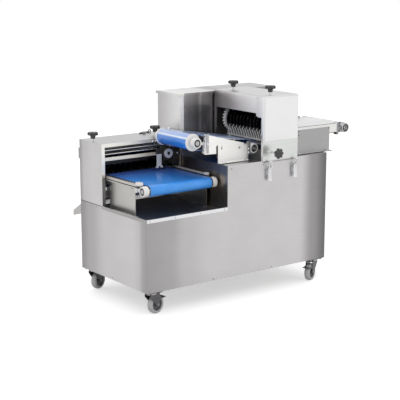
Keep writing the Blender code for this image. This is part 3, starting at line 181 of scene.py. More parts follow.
class Shell:
    """Points and faces of one piece, gathered from grids."""

    def __init__(self):
        self.points, self.faces, self.count = [], [], 0

    def grid(self, points):
        """Joins each point to the next row and the next column; each row closes on itself."""
        rows, columns = points.shape[:2]
        index = self.count + np.arange(rows * columns).reshape(rows, columns)
        ahead = np.roll(index, -1, axis=1)
        quads = np.stack([index[:-1], ahead[:-1], ahead[1:], index[1:]], axis=-1)
        self.faces += quads.reshape(-1, 4).tolist()
        self.points.append(points.reshape(-1, 3))
        self.count += rows * columns
        return index

    def looped(self, points):
        """A grid whose last row joins its first, such as a belt or a ring."""
        self.grid(np.concatenate([points, points[:1]]))
        return self

    def lathe(self, profile, origin, axis, steps=48):
        """A turned profile; where it starts and ends off the axis it closes on itself."""
        points = turned(profile, origin, axis, steps)
        if profile[0][0] > 0 and profile[-1][0] > 0:
            return self.looped(points)
        self.grid(points)
        return self

    def row(self, profile, places, origin, axis, steps):
        """The same turned profile at each place along an axis."""
        for place_ in places:
            self.lathe([(radius, place_ + along) for radius, along in profile], origin, axis, steps)

    def prism(self, outline, origin, one, two, depth):
        """An outline in the plane of one and two, carried along the vector depth."""
        flat = np.asarray(outline, float)
        base = origin + MM * (flat[:, :1] * one + flat[:, 1:] * two)
        index = self.grid(np.stack([base, base + MM * depth]))
        self.faces += [index[0].tolist(), index[-1].tolist()]
        return self

    def slabs(self, *boxes):
        """Boxes, each given as its low corner and its high corner in six numbers."""
        for x0, y0, z0, x1, y1, z1 in boxes:
            self.prism([(0, 0), (x1 - x0, 0), (x1 - x0, y1 - y0), (0, y1 - y0)], at(x0, y0, z0),
                       X, Y, Z * (z1 - z0))
        return self

    def rod(self, start, end, radius, chamfer=0.8):
        """A round bar with a small chamfer at both ends."""
        length = np.linalg.norm(end - start) / MM
        self.lathe([(0, 0), (radius - chamfer, 0), (radius, chamfer), (radius, length - chamfer),
                    (radius - chamfer, length), (0, length)], start, end - start, 20)

    def hexagon(self, centre, axis, width, height, sink=1.5):
        """A hexagon bolt head with a chamfered top and a washer face, standing on a surface."""
        centre = centre - axis * sink * MM
        height, washer = height + sink, sink + 0.6
        flat, corner, collar = width * 0.5, width * 0.577, width * 0.62
        self.lathe([(0, 0), (collar, 0), (collar, washer), (flat, washer), (0, washer)],
                   centre, axis, 24)
        self.lathe([(0, 0), (corner, 0), (corner, height * 0.86), (flat, height), (0, height)],
                   centre, axis, 6)

    def dome(self, centre, axis, radius, height, sink=1):
        """A domed rivet or button screw head: (radius * cos t, height * sin t)."""
        arc = [(radius * math.cos(t), height * math.sin(t)) for t in np.linspace(0, np.pi / 2, 6)]
        self.lathe([(0, -sink), (radius, -sink), *arc[:-1], (0, height)], centre, axis, 20)


def finish(name, shell, kind, body="machine", slot="stainless", angle=38, bevel=0.0,
           stands_for=()):
    """Makes the piece: merges seams and poles, turns faces outward, and lets it ride."""
    mesh = bpy.data.meshes.new(name)
    mesh.from_pydata(np.concatenate(shell.points).tolist(), [], shell.faces)
    work = bmesh.new()
    work.from_mesh(mesh)
    bmesh.ops.remove_doubles(work, verts=work.verts, dist=2e-6)
    bmesh.ops.dissolve_degenerate(work, edges=work.edges, dist=1e-6)
    bmesh.ops.recalc_face_normals(work, faces=work.faces)
    work.to_mesh(mesh)
    work.free()
    place(name, mesh, kind, body, slot, angle, bevel, stands_for)


def place(name, mesh, kind, body, slot, angle, bevel, stands_for):
    """Links a mesh as a shaded piece that rides on its body."""
    mesh.polygons.foreach_set("use_smooth", np.ones(len(mesh.polygons), bool))
    mesh.set_sharp_from_angle(angle=math.radians(angle))
    piece = bpy.data.objects.new(name, mesh)
    bpy.context.scene.collection.objects.link(piece)
    mesh.materials.append(MATERIALS[kind])
    if bevel:
        edge = piece.modifiers.new("edge", "BEVEL")
        edge.width, edge.segments, edge.limit_method = bevel * MM, 2, "ANGLE"
        edge.angle_limit, edge.harden_normals = math.radians(angle), True
    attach(piece, body)
    if stands_for:
        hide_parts(*stands_for)


def softened(node, kind, bevel, slot="stainless"):
    """A copy of a node with its flat faces joined and its edges broken, as a file leaves them."""
    source = frame["nodes"][node]
    mesh = source.data.copy()
    mesh.name = f"{node}_dressed"
    mesh.materials.clear()
    work = bmesh.new()
    work.from_mesh(mesh)
    bmesh.ops.remove_doubles(work, verts=work.verts, dist=1e-5)
    bmesh.ops.dissolve_limit(work, angle_limit=math.radians(0.6), verts=work.verts,
                             edges=work.edges)
    work.to_mesh(mesh)
    work.free()
    for layer in list(mesh.attributes):
        if layer.name == "custom_normal":
            mesh.attributes.remove(layer)
    place(f"{node}_dressed", mesh, kind, source["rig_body"], slot, 32, bevel, (node,))


# Materials

MATERIALS = {}
MIDDLE = {"From Min": 0.3, "From Max": 0.7}  # most of a noise's values lie between these


def add(tree, kind, inputs=(), stops=None, **settings):
    """Adds one shader node and returns it.

    inputs: {socket: a value, a node whose first output feeds it, or a node and its output}
    stops: {position: hex} of a colour ramp, or one hex for all of it
    """
    made = tree.nodes.new(f"ShaderNode{kind}")
    for key, value in settings.items():
        setattr(made, key, value)
    for key, value in dict(inputs).items():
        node, output = value if isinstance(value, tuple) and len(value) == 2 else (value, 0)
        if isinstance(node, bpy.types.Node):
            tree.links.new(node.outputs[output], made.inputs[key])
        else:
            made.inputs[key].default_value = value
    if stops:
        stops = stops if isinstance(stops, dict) else {0: stops, 1: stops}
        ramp = made.color_ramp
        ramp.interpolation = "EASE"
        while len(ramp.elements) < len(stops):
            ramp.elements.new(0.5)
        for element, (position, text) in zip(ramp.elements, stops.items()):
            element.position, element.color = position, linear(text)
    return made


def begin(name, sockets):
    """A new material with a Principled shader; returns it, its tree, the shader and coordinates."""
    material = bpy.data.materials.new(name)
    material.use_nodes = True
    tree = material.node_tree
    tree.nodes.clear()
    shader = add(tree, "BsdfPrincipled", sockets)
    add(tree, "OutputMaterial", {"Surface": shader})
    return material, tree, shader, add(tree, "TexCoord")


def marked(tree, shader, colour, marks, tone, gloss, relief, bump, height=0.3, gloss_from=MIDDLE):
    """Ends a material: its marks vary the tone and the gloss, and its relief stands up.

    tone: lowest and highest factor of the colour, gloss: lowest and highest roughness
    """
    factor = add(tree, "MapRange", {"Value": marks, **MIDDLE, "To Min": tone[0], "To Max": tone[1]})
    shade = add(tree, "VectorMath", {0: colour, "Scale": factor}, operation="SCALE")
    tree.links.new(shade.outputs["Vector"], shader.inputs["Base Color"])
    if gloss:
        matt = add(tree, "MapRange", {"Value": marks, **gloss_from, "To Min": gloss[0],
                                      "To Max": gloss[1]})
        tree.links.new(matt.outputs["Result"], shader.inputs["Roughness"])
    raised = add(tree, "Bump", {"Height": relief, "Strength": bump, "Distance": height * MM})
    tree.links.new(raised.outputs["Normal"], shader.inputs["Normal"])


def brushed_stainless(name, front, side=None, top="#dcdbdc", wall=None, span=(0, 1250),
                      depth=(0, 660), roughness=0.34, low=None, deep=None, metallic=1.0):
    """304 stainless sheet, cold rolled and brushed along the machine.

    To the eye: a soft satin grey with long level grain, broad painted pale and dark bands that stand
    for the reflections and shade on each panel, and a roughness that wavers along the grain.
    front, top: stops along x, over span, for faces to the front and back and for level faces, painted
    reflection and shade; level faces are painted lighter or darker for how the light falls on them
    side: stops along y, over depth, for faces to the left and right, painted shade of the sides
    wall: stops along y for an inner wall that faces left, painted dark for the dark housing that is all
    it sees
    low: (height where it starts, height where it is full, hex) of painted shade on a shaded front
    deep: (depth where it starts, depth where it is full, hex) of painted shade on a front inside a
    mouth
    """
    material, tree, shader, here = begin(name, {"Metallic": metallic, "Roughness": roughness})
    spot = add(tree, "Mapping", {"Vector": (here, "Object"), "Location": Vector(-ORIGIN)})
    axes = add(tree, "SeparateXYZ", {"Vector": spot})
    face = add(tree, "SeparateXYZ", {"Vector": (here, "Normal")})
    paints = []
    for axis, (start, end), stops in (("X", span, front), ("Y", depth, side),
                                      ("Y", (0, 620), wall), ("X", span, top)):
        share = stops and add(tree, "MapRange", {"Value": (axes, axis), "From Min": start * MM,
                                                 "From Max": end * MM})
        paints.append(stops and add(tree, "ValToRGB", {"Fac": share}, stops))
    colour, side_paint, wall_paint, top_paint = paints
    # each layer of painted shade and light: what is measured, where the layer starts, where it is full,
    # and its colour
    layers = [((axes, axis), shade[0] * MM, shade[1] * MM, linear(shade[2]))
              for axis, shade in (("Z", low), ("Y", deep)) if shade]
    if side:
        # how far a face turns to the left or right, from 0 to 1; these faces take the painted shade of
        # the sides
        flank = add(tree, "Math", {0: (face, "X")}, operation="ABSOLUTE")
        layers.append((flank, 0.45, 0.8, side_paint))
    # faces to the left beyond 50 mm from the cabinet's left side take the painted dark reflection of
    # the wall
    if wall:
        inside = add(tree, "Math", {0: (axes, "X"), 1: 0.05}, operation="GREATER_THAN")
        leftward = add(tree, "Math", {0: (face, "X"), 1: -0.6}, operation="LESS_THAN")
        both = add(tree, "Math", {0: inside, 1: leftward}, operation="MULTIPLY")
        layers.append((both, 0.0, 1.0, wall_paint))
    # level faces take their own painted tone, lighter or darker for how the light falls on them
    layers.append(((face, "Z"), 0.5, 0.85, top_paint))
    for source, start, full, paint in layers:
        share = add(tree, "MapRange", {"Value": source, "From Min": start, "From Max": full})
        colour = (add(tree, "Mix", {"Factor": share, 6: colour, 7: paint}, data_type="RGBA"), 2)
    # grain lines 2.5 mm apart, coarser than a 0.1 mm brush mark so that the render shows them
    stretch = add(tree, "Mapping", {"Vector": (here, "Object"), "Scale": (5.0, 5.0, 400.0)})
    grain = add(tree, "TexNoise", {"Vector": stretch, "Scale": 1.0, "Detail": 3.0,
                                   "Roughness": 0.55})
    # broad unevenness, a hand's width across
    cloud = add(tree, "TexNoise", {"Vector": (here, "Object"), "Scale": 6.0, "Detail": 2.0})
    broad = add(tree, "MapRange", {"Value": cloud, **MIDDLE, "To Min": 0.97, "To Max": 1.02})
    colour = add(tree, "VectorMath", {0: colour, "Scale": broad}, operation="SCALE")
    marked(tree, shader, colour, grain, (0.955, 1.03), (roughness - 0.05, roughness + 0.07),
           grain, 0.05, 0.4)
    return material


def worked_metal(name, colour, roughness, scale, spread=0.06, bump=0.1, metallic=1.0):
    """Plated, turned or ground metal: tone and gloss waver with marks of the given scale."""
    material, tree, shader, here = begin(name, {"Metallic": metallic, "Roughness": roughness})
    marks = add(tree, "TexNoise", {"Vector": (here, "Object"), "Scale": scale, "Detail": 4.0})
    marked(tree, shader, linear(colour)[:3], marks, (1 - spread, 1 + spread),
           (max(roughness - 0.06, 0.03), roughness + 0.08), marks, bump)
    return material


def moulded(name, colour, roughness, spread=0.05, bump=0.12, coat=0.0):
    """Moulded or cast plastic, rubber or film: fine pits about 1 mm apart and a faint cloud."""
    material, tree, shader, here = begin(name, {
        "Roughness": roughness, "Coat Weight": coat, "Coat Roughness": 0.15})
    pits = add(tree, "TexNoise", {"Vector": (here, "Object"), "Scale": 900.0, "Detail": 2.0})
    cloud = add(tree, "TexNoise", {"Vector": (here, "Object"), "Scale": 22.0, "Detail": 3.0})
    marked(tree, shader, linear(colour)[:3], cloud, (1 - spread, 1 + spread),
           (roughness - 0.05, roughness + 0.06), pits, bump, gloss_from={})
    return material


def belt_cover(name, stops, span, axis, painted_sheen=None, coat=0.35):
    """Polyurethane conveyor belt, calendered with a fine fabric print.

    To the eye: a clean glossy colour, painted lighter and darker along the belt for the light and
    shade along it, with a weave that only shows as a slight breaking up of the gloss.
    wet: hex of a painted sheen: a painted highlight band where the belt turns down round its
    roller, and a paler painted sheen on the level run
    """
    material, tree, shader, here = begin(name, {
        "Roughness": 0.30, "Coat Weight": coat, "Coat Roughness": 0.14})
    spot = add(tree, "Mapping", {"Vector": (here, "Object"), "Location": Vector(-ORIGIN)})
    axes = add(tree, "SeparateXYZ", {"Vector": spot})
    share = add(tree, "MapRange", {"Value": (axes, axis), "From Min": span[0] * MM,
                                   "From Max": span[1] * MM})
    # colour along the belt, painted for the light and shade along it
    colour = add(tree, "ValToRGB", {"Fac": share}, stops)
    if painted_sheen:
        # painted sheen by how far a face turns up: a painted highlight band near 0.56 where the belt
        # turns round the roller, and a paler painted sheen on the level run
        face = add(tree, "SeparateXYZ", {"Vector": (here, "Normal")})
        film = add(tree, "ValToRGB", {"Fac": (face, "Z")}, {
            0: "#000000", 0.34: "#000000", 0.56: "#f8f8f8", 0.74: "#9c9c9c", 0.9: "#a0a0a0",
            1: "#aeaeae"})
        colour = (add(tree, "Mix", {"Factor": film, 6: colour, 7: linear(painted_sheen)},
                      data_type="RGBA"), 2)
    wear = add(tree, "TexNoise", {"Vector": (here, "Object"), "Scale": 9.0, "Detail": 4.0})
    # woven print drawn with 4 mm cells, coarser than its 0.8 mm threads
    warp, weft = [(add(tree, "TexWave", {"Vector": (here, "Object"), "Scale": 40.0,
                                         "Distortion": 0.4, "Detail": 1.0},
                       wave_type="BANDS", bands_direction=way), "Fac") for way in "XY"]
    cell = add(tree, "Math", {0: warp, 1: weft}, operation="MULTIPLY")
    marked(tree, shader, colour, wear, (0.93, 1.07), None, cell, 0.06)
    return material


def make_materials():
    """Fills MATERIALS once."""
    if MATERIALS:
        return
    # painted reflection and shade of the cabinet: fronts darken towards both ends, sides towards front
    # and back, and level faces are painted darker
    steel = {0: "#a5a3a3", 0.12: "#adabab", 0.2: "#bfbdbd", 0.34: "#cac8c8", 0.84: "#cccaca",
             0.92: "#9c9a9a", 1: "#747373"}
    flank = {0: "#a09e9e", 0.05: "#a8a6a6", 0.13: "#c6c4c4", 0.2: "#cccaca", 0.6: "#c9c7c7",
             0.85: "#b0aeae", 1: "#989696"}
    MATERIALS.update({
        "cabinet": brushed_stainless(
            "brushed_stainless_cabinet", steel, flank, "#b4b3b4",
            # the step's inner wall is painted dark towards the back, a painted reflection of the shaded
            # housing
            wall={0: "#b0a79c", 0.35: "#8a7f74", 1: "#655c52"}),
        # painted light and shade of the housing: a near-white front for the light it catches, sides
        # darker towards the back, and painted shade low on the front, full below 545 mm
        "housing": brushed_stainless(
            "brushed_stainless_housing", {0: "#fffbf1", 1: "#ece9e1"},
            {0: "#cfcdcd", 0.35: "#cfcdcd", 0.8: "#c6c4c4", 1: "#a3a1a1"}, "#bdbcbd",
            span=(0, 524), depth=(428, 660), low=(575, 545, "#8b8a8a")),
        # painted reflection and shade of the drive box: a pale band at its front's left corner, a
        # darker front with one lighter band, sides darker towards the back and a top darker towards the
        # right
        "drive": brushed_stainless(
            "brushed_stainless_drive_box",
            {0: "#fffdf4", 0.078: "#fffdf4", 0.084: "#bab7b8", 0.2: "#a8a5a6", 0.34: "#969394",
             0.4: "#c0bdbe", 0.44: "#a29fa0", 1: "#9b9899"},
            {0: "#e2e1e1", 1: "#bfbdbd"},
            {0: "#e4e3e4", 0.55: "#dad9da", 0.8: "#a5a4a4", 1: "#b5b4b4"},
            span=(528, 900), depth=(442, 660)),
        # painted shade of the knife head: sides fade from pale at the front to dark at the back, and
        # fronts 60 to 100 mm deep in the mouth are painted darker
        "head": brushed_stainless(
            "brushed_stainless_knife_head", {0: "#dfe1df", 1: "#dcdedc"},
            {0: "#f4f3f4", 0.1: "#e2e1e2", 0.45: "#dbd9da", 0.8: "#b3b0b1", 1: "#868384"},
            "#c9c9c9", span=(770, 1020), depth=(0, 436), deep=(60, 100, "#817e7e")),
        # the plates' sides and level faces are painted tones of their own, lit and shaded copies of the
        # fronts' steel
        "pale_plate": brushed_stainless(
            "brushed_stainless_pale_plate", {0: "#faf9f6", 1: "#e6e5e3"},
            {0: "#b6b5b3", 1: "#aaa9a7"}, "#f4f3f2", span=(400, 800)),
        "grey_plate": brushed_stainless(
            "brushed_stainless_grey_plate", {0: "#b6b5b5", 1: "#aaa9a9"},
            {0: "#c5c3c0", 1: "#bdbbb8"}, "#d0d0d0"),
        # the angle strip on the left wall is painted darker for the shade it stands in, and its top
        # edge is a painted highlight
        "rim": brushed_stainless("brushed_stainless_side_rim", "#a9a7a7",
                                 {0: "#a6a3a3", 1: "#aeabab"}, "#eeeeee"),
        # the front rim strip is painted bright for the light it catches
        "bright_strip": brushed_stainless("brushed_stainless_rim", {0: "#e6e6e8", 1: "#eaeaec"},
                                          top="#ececee", roughness=0.28),
        "guard": brushed_stainless("brushed_stainless_guard", "#e9e4d8", top="#ece8de",
                                   roughness=0.28),
        # painted highlight: matt, evenly pale steel standing for the bright floor's reflection in the
        # drive box's folded corner
        "corner": brushed_stainless("painted_highlight_corner_strip", "#fdfcfa", top="#f4f3f2",
                                    roughness=0.5, metallic=0.3),
        "screw": worked_metal("stainless_button_screw", "#8c8b8d", 0.38, 200, 0.10),
        "bracket": worked_metal("cast_take_up_bracket", "#9a9a9c", 0.36, 90, 0.15),
        "rail": worked_metal("anodised_aluminium_rail", "#cfccc7", 0.5, 140, metallic=0.35),
        # dark steel of the cabinet floor and stripper blocks: mill finish, darkened further as painted
        # shade of the enclosed hollows
        "inner": worked_metal("mill_finish_steel_painted_dark_inside", "#57534f", 0.5, 60),
        "chrome": worked_metal("bright_turned_steel", "#dcdcde", 0.18, 250),
        "zinc": worked_metal("zinc_plated_pressing", "#b4b5b7", 0.34, 140, 0.12),
        "dark_fork": worked_metal("zinc_plated_castor_pressing", "#626265", 0.34, 120, 0.15),
        # knife steel painted dark for the shade of the head's mouth; the honed edges are painted
        # lighter for their glint
        "knife": worked_metal("ground_knife_steel", "#333234", 0.30, 300, 0.10),
        "edge": worked_metal("honed_knife_edge_painted_glint", "#828184", 0.22, 400),
        "latch": worked_metal("pressed_stainless_latch", "#d8d8da", 0.36, 140, 0.08),
        "shaft": worked_metal("ground_shafting", "#bdbdbf", 0.22, 350),
        "casting": worked_metal("painted_gearmotor_casting", "#2f3a44", 0.5, 90, bump=0.3,
                                metallic=0.0),
        "nylon": moulded("machined_nylon", "#dddcda", 0.42, coat=0.1),
        "cup": moulded("moulded_white_bearing_cup", "#ecebea", 0.35, coat=0.25),
        # black for the bearings' real seals, and for the painted shadow lines under covers and flanges
        "seal": moulded("nitrile_seal_and_painted_shadow", "#1b1a1b", 0.5),
        "knob": moulded("moulded_black_phenolic_knob", "#171616", 0.34, coat=0.7),
        "tyre": moulded("moulded_grey_rubber_tyre", "#b2b2b4", 0.55, 0.08),
        "hub": moulded("moulded_grey_wheel_hub", "#5b5b5e", 0.5),
        # black for the stripper's real rubber bush, and for painted shade in the rails' groove and the
        # plate's slot and hole
        "black": moulded("black_rubber_and_painted_shade", "#141313", 0.6),
        "film": moulded("white_vinyl_film", "#fffeff", 0.30, 0.008, 0.03, 0.2),
        # the lower belt painted brightest at its front and duller towards the back, for the light and
        # the housing's shade
        "blue": belt_cover("blue_polyurethane_belt", {
            0: "#3a98f2", 0.3: "#3892ec", 0.55: "#3c8de6", 0.8: "#4c82d8", 1: "#5276cc"},
            (70, 450), "Y"),
        # the upper belt painted slightly darker along x, with the painted sheen #f2f8ff
        "blue_upper": belt_cover("blue_polyurethane_belt_upper", {0: "#2e82e0", 1: "#2c78d2"},
                                 (330, 800), "X", "#f2f8ff", 1.0),
        "white": belt_cover("white_polyurethane_belt", {0: "#e9e9ea", 1: "#dededf"},
                            (950, 1470), "X"),
    })


# Settings

class DicerSizes(bpy.types.PropertyGroup):
    """Sizes of the dressing pieces, in metres as Blender's lengths are."""
    edge: FloatProperty(name="Broken edge", description="Width of the filed edge on sheet metal",
                        default=0.0008, unit="LENGTH")
    screw: FloatProperty(name="Cover screw", description="Radius of a cover screw's head",
                         default=0.0042, unit="LENGTH")
    lobes: IntProperty(name="Knob lobes", description="Lobes round a star knob", default=7)
    blade: FloatProperty(name="Knife radius", description="Radius of the strip-cutting knives",
                         default=0.0752, unit="LENGTH")
    tread: FloatProperty(name="Tread crown", description="Rise of a tyre's middle over its edge",
                         default=0.0035, unit="LENGTH")


class DicerColours(bpy.types.PropertyGroup):
    """Colour and strength of the studio's light."""
    backdrop: FloatVectorProperty(name="Backdrop", description="Colour behind the machine",
                                  subtype="COLOR", size=4, default=linear("#ffffff"))
    light: FloatProperty(name="Light", description="Strength of the even studio light",
                         default=0.95)


# Pieces

SHEETS = {
    "cabinet": ("cabinet_shell",), "housing": ("lower_housing",), "head": ("knife_head",),
    "drive": ("drive_box", "drive_roof"), "bright_strip": ("rim_strip",), "guard": ("guard_bars",),
    "pale_plate": ("upper_support", "upper_plate_front", "upper_plate_rear", "infeed_plate_front"),
    "grey_plate": ("infeed_plate_rear", "infeed_support", "lower_plate_left",
                   "lower_plate_right", "discharge_chute", "rear_panel"),
    "chrome": ("lower_take_up_left", "lower_take_up_right", "upper_take_up_front",
               "upper_take_up_rear"),
    "bracket": ("infeed_take_up_front", "infeed_take_up_rear")}
HIDDEN = {"cabinet_floor": "inner", "countershaft": "shaft", "gearmotor": "casting"}
FINE_EDGE = 0.4  # broken edge of small and bright pieces


class DICER_OT_sheet_metal(bpy.types.Operator):
    """Gives the folded sheet pieces broken edges and brushed steel."""
    bl_idname = "dicer.sheet_metal"
    bl_label = "Sheet metal"

    def execute(self, context):
        make_materials()
        edge = context.scene.dicer_sizes.edge / MM
        for kind, nodes in SHEETS.items():
            for node in nodes:
                fine = kind in ("bright_strip", "chrome", "bracket", "guard")
                softened(node, kind, FINE_EDGE if fine else edge)
        for node, kind in HIDDEN.items():
            for place_ in frame["nodes"][node].material_slots:
                place_.material = MATERIALS[kind]
        return {"FINISHED"}


class DICER_OT_cover_screws(bpy.types.Operator):
    """Sets the covers' button screws, the rim's rivets, the strips along the edges with one painted
    highlight among them, and a painted shadow line.
    """
    bl_idname = "dicer.cover_screws"
    bl_label = "Cover screws"

    def execute(self, context):
        radius = context.scene.dicer_sizes.screw / MM
        heads = Shell()
        for x, z in ((555, 603), (780, 603), (1236, 305), (1236, 16), (842, 10), (432, 10),
                     (14, 13)):
            heads.dome(at(x, 0, z), -Y, radius, 2.2)
        for y, z in ((340, 12), (640, 12), (611, 384), (545, 384), (493, 384), (437, 384)):
            heads.dome(at(0, y, z), -X, radius * 0.8, 1.8)
        for y in (30, 220, 440, 630):
            for z in (20, 600):
                heads.dome(at(1250, y, z), X, radius, 2.2)
        # the rear panel is low behind the left housing, so its top row starts beyond that
        back = [(x, z) for x in np.linspace(30, 1220, 7) for z in (20, 600) if x > 550 or z < 100]
        for x, z in back + [(x, 372) for x in (30, 200, 360, 500)]:
            heads.dome(at(x, 662.8, z), Y, radius, 2.2)
        for x in (19, 180, 345, 505):
            heads.dome(at(x, -2.3, 386.5), -Y, 3.2, 1.6)
        finish("cover_screws", heads, "screw")
        # painted shadow line where the housing's hood stands on the cabinet
        finish("housing_shadow_line", Shell().slabs((-0.4, 432, 391.5, 0.6, 657, 393.8)), "seal",
               slot=None)
        # angle strip over the low wall's left edge, from the front strip back to the housing, in steel
        # painted darker for its shade
        finish("side_rim_strip", Shell().slabs((-1.9, -2.2, 377.5, -0.3, 426.8, 395.8),
                                               (-1, 5.6, 394.3, 4.8, 426.8, 395.8)),
               "rim", bevel=FINE_EDGE)
        # pale strip on the drive box's front left corner: a painted highlight of the folded corner
        finish("drive_corner_highlight_strip", Shell().slabs((529, 440.2, 626, 555.2, 442.5, 954.5)),
               "corner", bevel=FINE_EDGE)
        return {"FINISHED"}


# belt, its material, its two rollers' bodies, the direction across it, roller radius, belt width
BELTS = (("lower_belt", "blue", ("lower_front", "lower_rear"), X, 30, 400),
         ("upper_belt", "blue_upper", ("upper_drop", "upper_drive"), Y, 43, 269),
         ("infeed_belt", "white", ("infeed_inner", "infeed_outer"), Y, 30, 290))


def belt(node, kind, start, end, radius, width, across):
    """Endless belt: a thin rounded section carried round two rollers and their straights.

    point = path + outward * section_y + across * section_x, where the path is half a turn
    about each roller, centre + outward * radius, joined by two straights
    """
    thick, bend, run = 2, 40, 12  # thickness, steps in a half turn, points in a straight
    radius = (radius - thick / 2) * MM
    along = (end - start) / np.linalg.norm(end - start)
    up = np.cross(across, along)
    up = up if up[2] > 0 else -up
    turn = np.linspace(-np.pi / 2, np.pi / 2, bend)[:, None]
    out_end = np.cos(turn) * along - np.sin(turn) * up
    out_start = -np.cos(turn) * along + np.sin(turn) * up
    runs = np.linspace(0, 1, run + 2)[1:-1, None]
    path = np.concatenate([end + out_end * radius, end - up * radius + (start - end) * runs,
                           start + out_start * radius, start + up * radius + (end - start) * runs])
    outward = np.concatenate([out_end, np.repeat(-up[None], run, 0), out_start,
                              np.repeat(up[None], run, 0)])
    section = rounded(width, thick, thick * 0.45, 3) * MM
    shell = Shell().looped(path[:, None] + section[None, :, :1] * across
                           + section[None, :, 1:] * outward[:, None])
    finish(f"{node}_smooth", shell, kind, slot="blue_belt" if "blue" in kind else "white_belt",
           angle=50, stands_for=(node,))


class DICER_OT_belts(bpy.types.Operator):
    """Makes the three endless belts and the six rollers that turn in them."""
    bl_idname = "dicer.belts"
    bl_label = "Belts and rollers"

    def execute(self, context):
        for node, kind, bodies, axis, radius, width in BELTS:
            ends = [centre_of(f"{body}_roller") * (1 - axis) + centre_of(node) * axis
                    for body in bodies]
            belt(node, kind, *ends, radius, width, axis)
            for body in bodies:
                roller = f"{body}_roller"
                low, high = corners(roller)
                # the stub passes its bearing, and the drum fills the belt with a little play
                tip = float((high - low) @ axis) / 2 / MM + 5.8
                core, half = radius - 2.3, width / 2 - 1
                profile = mirrored([
                    (0, -tip + 3), (2.6, -tip + 0.8), (3.2, -tip), (8.6, -tip), (9.6, -tip + 1),
                    (9.6, -half - 4), (16, -half - 4), (16, -half), (core - 1, -half),
                    (core, -half + 1)])
                finish(f"{roller}_turned", Shell().lathe(profile, centre_of(roller), axis),
                       "shaft", body, stands_for=(roller,))
            if node == "upper_belt":
                discs = Shell()
                for side in (-1, 1):
                    discs.lathe([(10.2, 135.2), (45.5, 135.2), (47.2, 136.4), (47.2, 140.8),
                                 (45.5, 143), (30, 144), (18, 144.4), (17, 145.7),
                                 (10.2, 145.7)], ends[0], axis * side, 64)
                finish("drop_roller_discs", discs, "cup", bodies[0], "white_belt")
        return {"FINISHED"}


def bearing_places():
    """Centre and outward direction of each bearing's face; the lower rear roller hides its own."""
    carriers = {"lower_front": ("lower_take_up_left", "lower_take_up_right"),
                "upper_drop": ("upper_take_up_front", "upper_take_up_rear"),
                "infeed_outer": ("infeed_take_up_front", "infeed_take_up_rear")}
    clear = 3 * MM
    for _, _, bodies, axis, _, _ in BELTS:
        for body in bodies:
            if body == "lower_rear":
                continue
            low, high = corners(f"{body}_roller")
            faces = (low @ axis - clear, high @ axis + clear)
            if body in carriers:
                first, second = carriers[body]
                faces = (corners(first)[0] @ axis, corners(second)[1] @ axis)
            for side, face in zip((-1, 1), faces):
                yield (low + high) / 2 * (1 - axis) + axis * face, axis * side


class DICER_OT_bearings(bpy.types.Operator):
    """Dresses each conveyor bearing with a cup, a seal and a grease plug."""
    bl_idname = "dicer.bearings"
    bl_label = "Conveyor bearings"

    def execute(self, context):
        cups, seals, rings, bright = Shell(), Shell(), Shell(), Shell()
        for centre, out in bearing_places():
            left_of_head = centre[0] < at(800, 0, 0)[0]
            (cups if left_of_head else bright).lathe([
                (20.5, 0.6), (21.2, 2.6), (25.2, 2.8), (27.4, 1.6), (28.6, -1), (28.6, -26),
                (28.1, -26.2), (28.1, -0.6), (20.5, -0.6)], centre, out, 56)
            seals.lathe([(11.8, -0.4), (11.8, 0.8), (15, 1.2), (19.6, 0.8), (20.6, 0.6),
                         (20.6, -0.4)], centre, out)
            rings.lathe([(10.2, -0.4), (10.2, 1.6), (10.8, 2), (11.9, 1.8), (11.9, -0.4)],
                        centre, out, 40)
            rings.hexagon(centre + (Z * 28.3 - out * 12) * MM, Z, 5.5, 3)
        finish("bearing_cups", cups, "cup")
        finish("bearing_cups_bright", bright, "zinc")
        finish("bearing_seals", seals, "seal", slot=None)
        finish("bearing_inner_rings", rings, "chrome")
        return {"FINISHED"}


